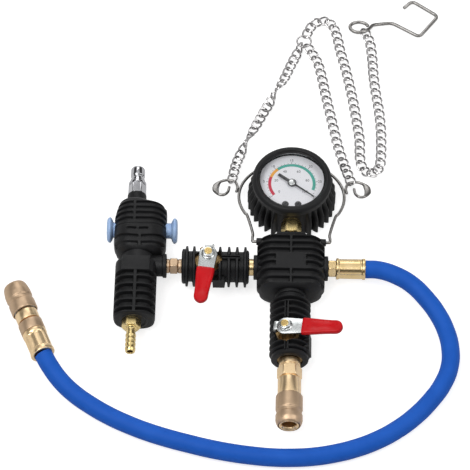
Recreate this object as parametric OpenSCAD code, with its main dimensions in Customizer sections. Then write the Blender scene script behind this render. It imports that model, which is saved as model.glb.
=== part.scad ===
// Coolant vacuum filler lying on a bench, with its gauge face up.
// X runs to the right along the pipes, Y from the fill coupler to the gauge, Z up from the bench.
// Lengths are in millimetres and angles in degrees.

/* [Rubber boots] */
// Thickness of the large boots, which lie on the bench
boot_t = 38; // [36:0.5:42]
// Gap between a boot and the metal inside it
boot_gap = 0.2; // [0.1:0.05:0.4]
// Depth of the grooves between the ribs of the large boots
slot_depth = 3; // [2:0.25:4]
// Width of one such groove
slot_w = 4.2; // [3:0.1:5.5]
// Distance from one groove to the next
slot_pitch = 7.6; // [7:0.1:9]
// Width of the plain spine between the grooves
spine_w = 3.2; // [2:0.2:5]

/* [Pipe threads] */
// Diameter of every pipe thread
thread_d = 13; // [11:0.2:13.6]
// Screwed-in length of every pipe thread
thread_l = 10; // [7:0.5:11]
// Gap round each thread
thread_gap = 0.1; // [0.05:0.05:0.2]
// Diameter of the flow bores
flow_d = 8; // [5:0.5:8.5]

/* [Manifold] */
// Width of the manifold boot between its collars
manifold_w = 60; // [56:1:70]
// Reach of the manifold towards the fill valve
manifold_near = 31; // [28:0.5:36]
// Reach of the manifold towards the gauge
manifold_far = 26; // [25:0.5:32]
// Diameter of the manifold's brass arms
arm_d = 19; // [17:0.5:20]
// Diameter of the collars at the sides of the boot
collar_d = 22; // [21.5:0.5:25]
// Length of those collars
collar_l = 3; // [2:0.5:6]

/* [Gauge] */
// Diameter of the gauge case
case_d = 66; // [62:1:72]
// Wall of the gauge case
case_wall = 1.4; // [0.8:0.1:2]
// Diameter of the window in the gauge boot
window_d = 57; // [50:1:58]
// Height of the gauge boot's front rim over the bench
rim_z = 41; // [40.5:0.5:46]
// Number of rib places round the gauge boot
gauge_ribs = 34; // [24:2:40]
// How far those ribs stand out from the boot
gauge_rib_h = 5; // [3:0.25:6]
// Distance between the manifold boot and the gauge case
stem_l = 22.5; // [20:0.5:28]
// Width across the flats of the gauge stem
stem_af = 16; // [14:0.2:17]
// Travel of the gauge needle from its zero
needle_travel = 254; // [200:2:270]

/* [Bail and eyes] */
// Diameter of the bail wire
bail_wire = 2.7; // [2:0.1:3.2]
// Width of the bail's hoop
bail_w = 95; // [95:1:104]
// Distance from the bail's pivot to the centre of its hoop
bail_reach = 60; // [59:0.5:64]
// Height of the bail's pivot
bail_z = 28; // [26:0.5:29]
// Gap round the bail's pins
bail_gap = 0.3; // [0.1:0.05:0.5]

/* [Ball valves] */
// Diameter of the valve bodies
valve_d = 22; // [20:0.5:23]
// Diameter of the ball
ball_d = 14; // [13:0.5:14]
// Diameter of the stem where it turns in the bonnet
stem_d = 8; // [6:0.25:8.5]
// Gap round the stem
stem_gap = 0.05; // [0.02:0.01:0.1]
// Reach of a valve boot towards the manifold
valve_front = 36; // [35:0.5:42]
// Reach of a valve boot the other way
valve_back = 23.5; // [23:0.5:30]
// Diameter over the ribs of a valve boot
rib_d = 36; // [32:0.5:37]
// Diameter of a valve boot between its ribs
core_d = 28; // [26:0.5:30]
// Thickness of one of those ribs
rib_t = 2.8; // [2:0.1:4]
// Distance from the valve stem to the end of the grip
lever_l = 50.5; // [44:0.5:56]
// Thickness of the lever plate
lever_t = 2; // [1.5:0.1:3]
// Thickness of the dipped grip
grip_t = 5; // [4.5:0.1:5.2]
// Width of the grip where it starts
grip_w = 16; // [14:0.5:17]
// Width across the flats of the lever nut
nut_af = 9; // [8:0.25:10]
// Distance between the manifold's collar and the vacuum valve boot
vacuum_gap = 4; // [3:0.5:8]
// Distance between the manifold boot and the fill valve boot
fill_gap = 5.5; // [4:0.5:10]
// How far the fill valve is rolled about its pipe
fill_roll = 11; // [0:1:15]

/* [Slide valve and venturi] */
// Distance between the vacuum valve boot and the venturi's side collar
union_gap = 13.5; // [12:0.5:20]
// Width across the flats of the union between them
union_af = 13.4; // [13:0.2:17]
// Diameter of the venturi boot
venturi_d = 38; // [36:0.5:38]
// Distance from the venturi's pipe axis to the end of its side collar
boss_reach = 29; // [27:0.5:34]
// Diameter of that side collar
boss_d = 20; // [19:0.5:22]
// Length of the venturi boot below the side collar's axis
venturi_l = 54; // [50:1:64]
// Width of the slide valve boot
slide_w = 46; // [44:1:52]
// Length of the slide valve boot
slide_l = 69.5; // [66:0.5:80]
// Diameter of the sliding spool
spool_d = 12; // [10:0.5:12.5]
// Gap round the spool
spool_gap = 0.05; // [0.02:0.01:0.1]
// Travel of the spool
spool_travel = 4; // [3:0.25:5]
// Diameter of a push knob's flange
knob_d = 23; // [20:0.5:26]
// Diameter of a push knob's neck
neck_d = 13.8; // [11:0.2:15]
// Width across the flats of the air plug
plug_af = 13.6; // [13:0.2:15]
// Diameter of the air plug's nose
plug_d = 12.2; // [10:0.2:12.6]
// Diameter of the outlet barb
barb_d = 9.2; // [8:0.2:11]

/* [Couplers and hose] */
// Diameter of the sliding sleeves
sleeve_d = 23.5; // [23:0.5:26]
// Diameter of the smooth neck that a sleeve slides over
neck_outer_d = 20.4; // [20:0.2:20.8]
// Diameter of the coupler's socket
socket_d = 12.4; // [10:0.2:12.6]
// Length of a sleeve
sleeve_l = 29; // [27:0.5:34]
// Travel of a sleeve
sleeve_travel = 4; // [3:0.25:4.2]
// Gap round the sleeve's sliding land
sleeve_gap = 0.05; // [0.02:0.01:0.05]
// Width across the flats of the fill coupler
coupler_af = 19.2; // [18:0.2:20]
// Diameter of the hose
hose_d = 16; // [13:0.5:16]
// Diameter of the hose ferrule at the manifold
ferrule_d = 19; // [17.5:0.5:21]
// Length of that ferrule
ferrule_l = 26; // [22:0.5:30]
// Length of the far ferrule
far_ferrule_l = 24; // [20:0.5:28]

/* [Chain and hook] */
// Diameter of the chain's wire
chain_wire = 2; // [1.5:0.1:2.1]
// Width of one chain link
link_w = 10; // [9:0.2:11]
// Play of one chain link on the next
link_play = 0.5; // [0.3:0.05:0.7]
// Longest step from one link to the next
chain_pitch = 8; // [7.6:0.1:8.6]
// Diameter of the hook's wire
hook_wire = 3.2; // [2.4:0.1:3.6]
// Length of the hook's shank, from its eye to its first bend
hook_shank = 15.7; // [10:0.1:24]
// Length of the sloping run to the hook's corner
hook_run = 30.4; // [24:0.1:40]
// Length of the hook's back
hook_back = 30.3; // [24:0.1:40]
// Length of the hook's top
hook_top = 30; // [24:0.1:40]
// Length of the hook's tip
hook_tip = 11.2; // [6:0.1:16]

/* [Hidden] */
$fn = 48;

// Place of the manifold's centre, so that the middle of the object stands over the origin
manifold_x = 14;
manifold_y = -76.9;

rubber = "#1c1d1f";
brass = "#c79a4b";
satin_brass = "#c8a06c";
zinc = "#d5d6d4";
red = "#d4202b";
steel = "#9a9b9c";
hose_blue = "#2f66c8";
knob_blue = "#8fb6ea";
white = "#eef0ef";

big = 100;
axis_z = boot_t / 2;
thread_r = thread_d / 2;
port_r = thread_r + thread_gap;
flow_r = flow_d / 2;
// How far metal ends stay inside the lips of a boot
lip = 1.5;
// Play between parts that are screwed or pushed together
seat_gap = 0.1;

function unit(v) = v / norm(v);
function arc_points(r, from, to, n) = [for (i = [0:n]) let (a = from + (to - from) * i / n) r * [cos(a), sin(a)]];

// Direction of a path at one of its points, with the two ends given
function heading(path, i, first, last) =
    i == 0 ? unit(first) : i == len(path) - 1 ? unit(last) : unit(path[i + 1] - path[i - 1]);

// A round wire or hose of radius r along a path, whose sides are set out from the up direction
module swept(path, r, sides, up, first, last) {
    rings = len(path);
    points = [
        for (i = [0:rings - 1])
            let (t = heading(path, i, first, last), s = unit(cross(up, t)), v = cross(t, s))
                for (k = [0:sides - 1])
                    let (a = 360 * (k + 0.5) / sides)
                        path[i] + r * (cos(a) * s + sin(a) * v)
    ];
    walls = [
        for (i = [0:rings - 2], k = [0:sides - 1])
            let (a = i * sides + k, d = i * sides + (k + 1) % sides)
                each [[a, a + sides, d + sides], [a, d + sides, d]]
    ];
    start_cap = [for (k = [1:sides - 2]) [0, k, k + 1]];
    base = (rings - 1) * sides;
    end_cap = [for (k = [1:sides - 2]) [base, base + k + 1, base + k]];
    polyhedron(points, concat(walls, start_cap, end_cap), convexity = 8);
}

module wire(path, d, sides, up) {
    n = len(path);
    swept(path, d / 2, sides, up, path[1] - path[0], path[n - 1] - path[n - 2]);
}

module rod_x(r, from, to) { translate([from, 0, 0]) rotate([0, 90, 0]) cylinder(r = r, h = to - from); }
module rod_y(r, from, to) { translate([0, from, 0]) rotate([-90, 0, 0]) cylinder(r = r, h = to - from); }
module rod_z(r, from, to) { translate([0, 0, from]) cylinder(r = r, h = to - from); }
module cone_x(r1, r2, from, to) {
    translate([from, 0, 0]) rotate([0, 90, 0]) cylinder(r1 = r1, r2 = r2, h = to - from);
}
module hex_x(af, from, to) {
    translate([from, 0, 0]) rotate([0, 90, 0]) rotate([0, 0, 30])
        cylinder(r = af / sqrt(3), h = to - from, $fn = 6);
}

// A ring round the X axis
module band_x(r_in, r_out, from, to) {
    difference() {
        rod_x(r_out, from, to);
        rod_x(r_in, from - 1, to + 1);
    }
}

module round_rect(w, h, r) {
    square([w - 2 * r, h], center = true);
    square([w, h - 2 * r], center = true);
    for (sx = [-1, 1], sy = [-1, 1]) translate([sx * (w / 2 - r), sy * (h / 2 - r)]) circle(r = r);
}

module placed() { translate([manifold_x, manifold_y, 0]) children(); }
module at_axis() { translate([0, 0, axis_z]) children(); }

// Manifold

arm_r = arm_d / 2;
manifold_profile_r = 14;
manifold_plan_r = 10;
manifold_side = manifold_w / 2 + collar_l;
pad_half = [13.5, 8];
bail_y = manifold_far - 4.5;
bail_pin_from = manifold_w / 2 - 6;
manifold_slot_edge = manifold_w / 2 - 1.5;

module manifold_arms(grow) {
    rod_x(arm_r + grow, -manifold_side + lip - grow, manifold_side - lip + grow);
    rod_y(arm_r + grow, -manifold_near - grow, manifold_far + grow);
}

module manifold_block() {
    color(brass) at_axis() difference() {
        manifold_arms(0);
        rod_x(flow_r, -big, big);
        rod_y(flow_r, -big, big);
        for (side = [0, 180]) rotate([0, 0, side])
            rod_x(port_r, manifold_side - lip - thread_l, big);
        rod_y(port_r, manifold_far - thread_l, big);
        rod_y(port_r, -big, -manifold_near + thread_l);
    }
}

// Outer form of the manifold boot, drawn in by inset on every side of its section
module manifold_form(inset) {
    intersection() {
        translate([0, big, axis_z]) rotate([90, 0, 0]) linear_extrude(2 * big)
            round_rect(manifold_w - 2 * inset, boot_t - 2 * inset, manifold_profile_r - inset);
        translate([0, (manifold_far - manifold_near) / 2, -1]) linear_extrude(boot_t + 2)
            round_rect(manifold_w, manifold_far + manifold_near, manifold_plan_r);
    }
}

// Grooves above and below the boot, on both sides of the spine and round the blank pad
module manifold_slots() {
    first = -manifold_near + 8;
    rows = floor((manifold_far - 4 - first) / slot_pitch);
    difference() {
        for (row = [0:rows], side = [-1, 1])
            let (y = first + row * slot_pitch, from = abs(y) < pad_half[1] ? pad_half[0] : spine_w / 2)
                translate([side * (from + manifold_slot_edge) / 2, y, axis_z])
                    cube([manifold_slot_edge - from, slot_w, boot_t + 2], center = true);
        manifold_form(slot_depth);
        translate([0, 0, axis_z]) cube([2 * big, 2 * big, boot_t / 4], center = true);
    }
}

module manifold_boot() {
    color(rubber) difference() {
        union() {
            manifold_form(0);
            at_axis() rod_x(collar_d / 2, -manifold_side, manifold_side);
        }
        at_axis() manifold_arms(boot_gap);
        at_axis() rod_x(arm_r + boot_gap, -big, big);
        manifold_slots();
        for (side = [0, 180]) translate([0, bail_y, bail_z]) rotate([0, side, 0])
            rod_x(bail_wire / 2 + bail_gap, bail_pin_from - 1, big);
    }
}

// Gauge

case_r = case_d / 2;
gauge_y = manifold_far + stem_l + case_r;
case_in = case_r - case_wall;
boot_floor = 1.9;
lens_t = 1.6;
lip_z = rim_z - 2.6;
lens_z = lip_z - 0.1 - lens_t;
plate_t = 1;
post_h = 9;
frame_z = axis_z + 1;
dial_z = frame_z + 2 * plate_t + post_h;
dial_t = 0.8;
pointer_z = dial_z + 2.2;
pinion_r = 2;
sector_r = 10;
gear_gap = 0.3;
sector_x = -(pinion_r + sector_r + gear_gap);
sector_swing = needle_travel * pinion_r / sector_r;
pin_gap = 0.05;
arbor_r = 1.2;
sector_pin_r = 1;
needle_rest = -36;
block_half = 7;
dial_screw_at = [5.5, -20.4];
gauge_root = case_r + boot_gap + 1.3;
stem_neck_r = 7.8;

module at_gauge() { translate([0, gauge_y, 0]) children(); }

module gauge_stem() {
    color(brass) at_axis() difference() {
        union() {
            rod_y(thread_r, manifold_far - thread_l + 0.5, manifold_far + 9);
            rotate([0, 0, 90]) hex_x(stem_af, manifold_far + 8.5, manifold_far + stem_l - 0.6);
            rod_y(stem_neck_r, manifold_far + stem_l - 1, gauge_y - case_in + 4);
            translate([-block_half, gauge_y - case_in + 2, -7]) cube([2 * block_half, 20, 8]);
        }
        rod_y(flow_r / 2, -big, gauge_y - case_in + 16);
    }
}

module gauge_case() {
    color(steel) at_gauge() difference() {
        rod_z(case_r, boot_floor + 0.1, lens_z - 0.1);
        rod_z(case_in, boot_floor + 0.1 + case_wall, big);
        at_axis() rod_y(stem_neck_r + seat_gap, -big, 0);
    }
}

module gauge_boot() {
    front = gauge_root + 1;
    color(rubber) at_gauge() difference() {
        union() {
            rotate_extrude() polygon([
                [case_r - 7, 0], [gauge_root, 0], [gauge_root, rim_z - 13], [front, rim_z - 11.5],
                [front, rim_z - 2.5], [front - 2, rim_z], [window_d / 2 + 1.5, rim_z],
                [window_d / 2, rim_z - 1.5], [window_d / 2, lip_z], [case_r + boot_gap, lip_z],
                [case_r + boot_gap, boot_floor], [case_r - 7, boot_floor]
            ]);
            for (i = [0:gauge_ribs - 1])
                let (a = 360 * (i + 0.5) / gauge_ribs)
                    if (abs(a - 180) < 158) rotate([0, 0, a - 90]) gauge_rib();
        }
        translate([-11, -case_r - 12, -1]) cube([22, 22, rim_z - 12]);
    }
}

// One rib, standing out from the boot and pointed at the bench
module gauge_rib() {
    t = 3;
    tip = gauge_root + gauge_rib_h;
    translate([0, t / 2, 0]) rotate([90, 0, 0]) linear_extrude(t)
        polygon([
            [gauge_root - 0.5, 1], [gauge_root + 1.5, 1], [tip, 10], [tip, rim_z - 17],
            [gauge_root + 1, rim_z - 12], [gauge_root - 0.5, rim_z - 12]
        ]);
}

module gauge_lens() { color("#cfe0ea", 0.4) at_gauge() rod_z(case_r - 0.3, lens_z, lens_z + lens_t); }

module gauge_dial() {
    color(white) at_gauge() difference() {
        rod_z(case_in - 1, dial_z, dial_z + dial_t);
        rod_z(arbor_r + 0.6, 0, big);
        for (side = [-1, 1]) translate([side * dial_screw_at[0], dial_screw_at[1], 0]) rod_z(1.2, 0, big);
    }
}

module dial_screws() {
    color(steel) at_gauge() for (side = [-1, 1])
        translate([side * dial_screw_at[0], dial_screw_at[1], 0]) difference() {
            union() {
                rod_z(1.7, dial_z + dial_t, dial_z + dial_t + 0.9);
                rod_z(1, dial_z - plate_t, dial_z + dial_t + 0.1);
            }
            translate([-2, -0.25, dial_z + dial_t + 0.5]) cube([4, 0.5, 1]);
        }
}

module movement_frame() {
    color(brass) at_gauge() difference() {
        union() {
            for (z = [frame_z, dial_z - plate_t]) translate([sector_x - 4, -23, z])
                cube([8 - sector_x + 4, 30, plate_t]);
            for (x = [sector_x - 1, 5]) translate([x, -15, 0]) rod_z(1.6, frame_z, dial_z - 0.1);
        }
        rod_z(arbor_r + pin_gap, 0, big);
        translate([sector_x, 0, 0]) rod_z(sector_pin_r + pin_gap, 0, big);
        for (side = [-1, 1]) translate([side * dial_screw_at[0], dial_screw_at[1], 0])
            rod_z(1 + seat_gap, dial_z - plate_t - 0.5, big);
    }
}

module bourdon_tube() {
    tube_inset = 11.1;
    tube_section = [3, 7];
    color(brass) at_gauge() translate([0, 0, axis_z - 6.5]) rotate([0, 0, -69])
        rotate_extrude(angle = 275) translate([case_in - tube_inset, 0]) square(tube_section);
}

module sector_gear() {
    z = frame_z + plate_t + 4;
    color(brass) at_gauge() translate([sector_x, 0, 0]) {
        rod_z(sector_pin_r, frame_z, dial_z - 0.2);
        rotate([0, 0, sector_swing / 2]) {
            translate([0, 0, z]) rotate([0, 0, -36]) rotate_extrude(angle = 72) square([sector_r, 1.2]);
            translate([-7, -1.5, z]) cube([8, 3, 1.2]);
        }
        rod_z(2.2, z, z + 1.2);
    }
}

module needle() {
    pinion_z = frame_z + plate_t + 3;
    color("#2b2c2e") at_gauge() rotate([0, 0, needle_rest]) {
        rod_z(arbor_r, frame_z, pointer_z + 0.2);
        rod_z(pinion_r, pinion_z, pinion_z + 3.2);
        rod_z(2.6, pointer_z - 0.2, pointer_z + 1.4);
        translate([0, 0, pointer_z]) linear_extrude(0.8)
            polygon([[-15, 1.3], [-15, -1.3], [0, -1.1], [window_d / 2 - 4, -0.25], [window_d / 2 - 4, 0.25], [0, 1.1]]);
    }
}

// Bail, eyes, chain and hook

bail_r = bail_w / 2;
bail_end = bail_reach + bail_r;
bail_tilt = asin((bail_z - bail_wire / 2) / bail_end);
bail_side = manifold_w / 2 + 4.5;
bail_up = [0, sin(bail_tilt), cos(bail_tilt)];
// A point of the bail's plane, given by x and by its distance from the pivot
function on_bail(p) = [p[0], bail_y + p[1] * cos(bail_tilt), bail_z - p[1] * sin(bail_tilt)];
bail_half = concat(
    [[bail_pin_from, 0], [bail_side - 1.5, 0], [bail_side - 0.4, 0.4], [bail_side, 1.5], [bail_side, 12]],
    [for (p = arc_points(bail_r, -34, 80, 12)) p + [0, bail_reach]]
);
bail_turns = len(bail_half);
bail_path = concat(
    bail_half,
    [[0, bail_end]],
    [for (i = [1:bail_turns]) let (p = bail_half[bail_turns - i]) [-p[0], p[1]]]
);

module bail_wire_hoop() {
    color(steel) wire([for (p = bail_path) on_bail(p)], bail_wire, 10, bail_up);
}

// The left eye, in the bail's plane: from its cut end beside the bail, round the loop and inwards
eye_wire = 2.6;
eye_path = [
    [-49.85, 66], [-49, 72], [-50.8, 78.6], [-54.5, 81], [-59, 81.4], [-63.6, 79], [-66.6, 74],
    [-67.5, 68], [-64.5, 63], [-60, 63.5], [-57, 67], [-56, 72]
];
// Radius of the hoop that these points are set out beside
eye_hoop_r = 47.5;
eye_shift = bail_r - eye_hoop_r;

module pigtail_eyes() {
    color(steel) for (side = [1, -1])
        wire([for (p = eye_path) on_bail([side * (p[0] - eye_shift), p[1]])], eye_wire, 8, bail_up);
}

chain_z = link_w / 2;
hang_point = on_bail([-54.3 - eye_shift, 79.2]);
left_route = [
    hang_point, [-52, 112, 8], [-50, 123, chain_z + 1], [-46, 134, chain_z], [-42, 144.5, chain_z],
    [-36, 158, chain_z], [-30, 171, chain_z], [-25, 182, chain_z], [-19.5, 193, chain_z],
    [-14, 206, chain_z], [-7, 219, chain_z], [-4, 228, chain_z], [2.5, 244, chain_z], [7.9, 256.5, chain_z]
];
right_route = [
    [-hang_point[0], hang_point[1], hang_point[2]], [50, 112, 8], [47, 123, chain_z + 1],
    [42, 142, chain_z], [38, 162, chain_z], [34, 182, chain_z], [30.5, 200, chain_z],
    [27, 220, chain_z], [23, 238, chain_z], [12.6, 256.8, chain_z]
];
hanger_route = [
    [11.8, 266.6, chain_z], [16, 279, chain_z], [22.6, 285, chain_z], [31.5, 286, chain_z], [37, 280, chain_z],
    [41, 269, chain_z], [44, 250.5, chain_z], [49, 230, chain_z], [53, 210, chain_z], [56.5, 190, chain_z],
    [59.5, 168, chain_z], [62, 150, chain_z], [62, 133, chain_z], [62.5, 122, chain_z], [66, 114.5, chain_z],
    [72, 112, chain_z], [78, 115, chain_z], [81, 122, chain_z], [81.6, 139, chain_z], [81.6, 161, chain_z],
    [80, 182, chain_z], [77, 202, chain_z], [75, 222, chain_z], [74, 243, chain_z], [72, 262, chain_z],
    [66.2, 275.9, chain_z]
];
junction = [10, 261.5, chain_z];
junction_r = 6.5;

function leg(route, i) = norm(route[i + 1] - route[i]);
function route_length(route, upto) = upto == 0 ? 0 : leg(route, upto - 1) + route_length(route, upto - 1);
// The point of a route at distance s from its start
function along(route, s, i = 0) =
    i >= len(route) - 2 || s <= leg(route, i)
        ? route[i] + unit(route[i + 1] - route[i]) * s
        : along(route, s - leg(route, i), i + 1);

module chain_link(pitch) {
    r = (link_w - chain_wire) / 2;
    half = (pitch + link_play + chain_wire) / 2 - r;
    for (turn = [0, 180]) rotate([0, 0, turn]) {
        translate([half, 0, 0]) rotate([0, 0, -90]) rotate_extrude(angle = 180)
            translate([r, 0]) circle(d = chain_wire);
        translate([0, r, 0]) rod_x(chain_wire / 2, -half, half);
    }
}

// Links along a route, upright and flat by turns, with an odd count so that both end links stand
module chain(route) {
    total = route_length(route, len(route) - 1);
    count = 2 * ceil((total / chain_pitch - 1) / 2) + 1;
    pitch = total / count;
    for (i = [0:count - 1])
        let (
            a = along(route, pitch * i), b = along(route, pitch * (i + 1)),
            d = b - a, flat = norm([d[0], d[1]])
        )
            translate((a + b) / 2)
                rotate([0, -atan2(d[2], flat), atan2(d[1], d[0])])
                    rotate([i % 2 == 0 ? 90 : 0, 0, 0]) chain_link(pitch);
}

module chain_left() { color(zinc) chain(left_route); }
module chain_right() { color(zinc) chain(right_route); }

module chain_hanger() {
    color(zinc) {
        chain(hanger_route);
        translate(junction) rotate_extrude() translate([junction_r, 0]) circle(d = chain_wire);
    }
}

hook_eye = [64.5, 279.5, chain_z];
hook_eye_r = 6;
hook_low = hook_wire / 2;
hook_eye_from = 330;
hook_eye_to = 20;
hook_bend = 2;
function heading_of(a) = [cos(a), sin(a), 0];
// Headings of the hook's shank, run, back, top and tip
hook_headings = [for (a = [10.7, -31.7, 53.6, 144, 226.5]) heading_of(a)];
hook_neck = [hook_eye[0] + 12.5, hook_eye[1] + 4, hook_low];
hook_first = hook_neck + hook_shank * hook_headings[0];
hook_corner = hook_first + hook_run * hook_headings[1];
hook_shoulder = hook_corner + hook_back * hook_headings[2];
hook_crown = hook_shoulder + hook_top * hook_headings[3];
hook_path = concat(
    [for (p = arc_points(hook_eye_r, hook_eye_from, hook_eye_to, 14)) hook_eye + [p[0], p[1], 0]],
    [
        (hook_eye + hook_neck) / 2 + [2.3, 0.8, chain_z / 2 - hook_low / 2 - 1], hook_neck + [0, 0, 1],
        hook_first, hook_corner - hook_bend * hook_headings[1], hook_corner + hook_bend * hook_headings[2],
        hook_shoulder - hook_bend * hook_headings[2], hook_shoulder + hook_bend * hook_headings[3],
        hook_crown, hook_crown + hook_tip * hook_headings[4]
    ]
);

module hanging_hook() { color(steel) wire(hook_path, hook_wire, 8, [0, 0, 1]); }

// Ball valves, in their own frame: pipe along X with the manifold at +X, stem along Z

valve_r = valve_d / 2;
valve_x = manifold_side + vacuum_gap + valve_front;
valve_y = manifold_near + fill_gap + valve_front;
ball_r = ball_d / 2;
ball_clear = 0.3;
ball_bore_r = 3.5;
chamber_r = ball_r + 0.7;
seat_bore = 4.2;
seat_x = sqrt(pow(ball_r + ball_clear, 2) - pow(seat_bore, 2));
seat_back = seat_x + 3;
split_x = 12;
stem_r = stem_d / 2;
bonnet_r = 7.5;
lever_z = rib_d / 2 + 2;
lever_top = lever_z + lever_t;
bonnet_top = lever_z - 0.4;
stem_flange = [stem_r + 1, ball_r + 0.5, ball_r + 2];
stem_flat = 5.6;
tang = [6, 2.4];
nut_hole = 3.2;
stem_top = lever_top + 5;
lever_rest = 83;
window_r = 12;
tab_from = 8.5;
tab_half = 4;
tab_t = 2;
stop_offset = 37;
grip_from = 14.5;
blade_w = 11;

module at_vacuum_valve() { translate([-valve_x, 0, axis_z]) children(); }
module at_fill_valve() { translate([0, -valve_y, axis_z]) rotate([0, 0, 90]) rotate([-fill_roll, 0, 0]) children(); }

module ball_valve_body() {
    color(brass) difference() {
        union() {
            rod_x(valve_r, -valve_back + lip, split_x);
            rod_z(bonnet_r, 0, bonnet_top);
            for (a = [-stop_offset, 90 + stop_offset]) rotate([0, 0, a])
                translate([bonnet_r - 1, -1.5, 0]) cube([4, 3, lever_z - 1.5]);
        }
        rod_x(chamber_r, -seat_back, big);
        rod_x(flow_r, -big, 0);
        rod_x(port_r, -big, -valve_back + lip + thread_l);
        rod_z(stem_flange[0] + ball_clear, 0, stem_flange[2] + 0.2);
        rod_z(stem_r + stem_gap, 0, big);
    }
}

module ball_valve_retainer() {
    color(brass) difference() {
        union() {
            rod_x(valve_r, split_x, valve_front - lip);
            rod_x(chamber_r - seat_gap, seat_back, split_x + 1);
        }
        rod_x(flow_r, 0, big);
        rod_x(port_r, valve_front - lip - thread_l, big);
    }
}

module ball_valve_seats() {
    color(white) for (side = [0, 180]) rotate([0, 0, side])
        band_x(seat_bore, chamber_r - seat_gap, seat_x, seat_back);
}

module ball_valve_ball() {
    color(steel) rotate([0, 0, lever_rest]) difference() {
        sphere(r = ball_r);
        rod_x(ball_bore_r, -big, big);
        translate([-big / 2, -tang[1] / 2 - seat_gap, ball_r - 2.4]) cube([big, tang[1] + 2 * seat_gap, big]);
    }
}

// Two flats on a round hole or stem
module flatted(r, flat, from, to) {
    intersection() {
        rod_z(r, from, to);
        translate([-big / 2, -flat / 2, from]) cube([big, flat, to - from]);
    }
}

module ball_valve_stem() {
    color(brass) rotate([0, 0, lever_rest]) {
        translate([-tang[0] / 2, -tang[1] / 2, ball_r - 2.3]) cube([tang[0], tang[1], 2.9]);
        rod_z(stem_flange[0], stem_flange[1], stem_flange[2]);
        rod_z(stem_r, stem_flange[1], lever_z - seat_gap);
        flatted(stem_r, stem_flat, lever_z - 1, lever_top - seat_gap);
        rod_z(min(nut_hole, stem_flat / 2), lever_z, stem_top);
    }
}

// Lever and grip point along -X where the valve is open
module blade_outline(grow) {
    translate([-lever_l + 5, -blade_w / 2 - grow]) square([lever_l - 5, blade_w + 2 * grow]);
}

module ball_valve_lever() {
    color(zinc) rotate([0, 0, lever_rest]) difference() {
        union() {
            translate([0, 0, lever_z]) linear_extrude(lever_t) {
                circle(r = 8);
                blade_outline(0);
                translate([0, -tab_half]) square([tab_from + tab_t, 2 * tab_half]);
            }
            translate([tab_from, -tab_half, lever_z - 4.5]) cube([tab_t, 2 * tab_half, 5]);
        }
        flatted(stem_r + seat_gap, stem_flat + 2 * seat_gap, lever_z - 1, lever_top + 1);
    }
}

module ball_valve_grip() {
    end_r = grip_w * 0.39;
    color(red) rotate([0, 0, lever_rest]) difference() {
        translate([0, 0, lever_z + lever_t / 2 - grip_t / 2]) linear_extrude(grip_t) {
            polygon([
                [-grip_from, grip_w / 2], [-grip_from, -grip_w / 2],
                [-lever_l + end_r, -end_r], [-lever_l + end_r, end_r]
            ]);
            translate([-lever_l + end_r, 0]) circle(r = end_r);
        }
        translate([0, 0, lever_z - seat_gap]) linear_extrude(lever_t + 2 * seat_gap) intersection() {
            blade_outline(seat_gap);
            translate([-lever_l + 5 - seat_gap, -big / 2]) square(big);
        }
    }
}

module ball_valve_nut() {
    color(zinc) rotate([0, 0, lever_rest]) difference() {
        union() {
            rod_z(nut_af * 0.69, lever_top, lever_top + 1);
            translate([0, 0, lever_top]) cylinder(r = nut_af / sqrt(3), h = 4.2, $fn = 6);
        }
        rod_z(nut_hole + seat_gap, 0, big);
    }
}

// A ribbed boot with a round window for the bonnet, a slit along its top and a plain pad at its side
module ball_valve_boot(ribs, pad) {
    cavity = valve_r + boot_gap;
    color(rubber) difference() {
        union() {
            rotate([0, 90, 0]) rotate_extrude() {
                translate([0, -valve_back]) square([core_d / 2, valve_back + valve_front]);
                for (x = ribs) translate([0, x - rib_t / 2]) square([rib_d / 2, rib_t]);
            }
            translate([pad[0], -rib_d / 2, -7]) cube([pad[1] - pad[0], rib_d / 2 - valve_r + 1, 14]);
        }
        rod_x(cavity, -big, big);
        rod_z(window_r, 0, big);
        translate([0, -0.5, 0]) cube([valve_front - 8, 1, big]);
    }
}

rib_edge = rib_t / 2 + 1.2;
vacuum_ribs = [
    -valve_back + rib_edge, -valve_back + rib_edge + 7.2, 10.2, 18.2, 25.6, valve_front - rib_edge
];
fill_ribs = [
    -valve_back + 6.5, -11, -4.4, 2.2, 8.8, 15.4, 22, 28.6, valve_front - rib_edge
];

module vacuum_valve_body() { at_vacuum_valve() ball_valve_body(); }
module vacuum_valve_retainer() { at_vacuum_valve() ball_valve_retainer(); }
module vacuum_ball_seats() { at_vacuum_valve() ball_valve_seats(); }
module vacuum_ball() { at_vacuum_valve() ball_valve_ball(); }
module vacuum_stem() { at_vacuum_valve() ball_valve_stem(); }
module vacuum_lever() { at_vacuum_valve() ball_valve_lever(); }
module vacuum_grip() { at_vacuum_valve() ball_valve_grip(); }
module vacuum_lever_nut() { at_vacuum_valve() ball_valve_nut(); }
module vacuum_valve_boot() { at_vacuum_valve() ball_valve_boot(vacuum_ribs, [4, 15]); }
module fill_valve_body() { at_fill_valve() ball_valve_body(); }
module fill_valve_retainer() { at_fill_valve() ball_valve_retainer(); }
module fill_ball_seats() { at_fill_valve() ball_valve_seats(); }
module fill_ball() { at_fill_valve() ball_valve_ball(); }
module fill_stem() { at_fill_valve() ball_valve_stem(); }
module fill_lever() { at_fill_valve() ball_valve_lever(); }
module fill_grip() { at_fill_valve() ball_valve_grip(); }
module fill_lever_nut() { at_fill_valve() ball_valve_nut(); }
module fill_valve_boot() { at_fill_valve() ball_valve_boot(fill_ribs, [-18, 2]); }

// A plain pipe nipple along X, screwed thread_l deep at both ends, with a collar between
module pipe_nipple(from, to, collar_from, collar_to) {
    color(satin_brass) difference() {
        union() {
            rod_x(thread_r, from - thread_l + 0.5, to + thread_l - 0.5);
            rod_x(thread_r + 1, collar_from, collar_to);
        }
        rod_x(flow_r, -2 * big, 2 * big);
    }
}

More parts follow.
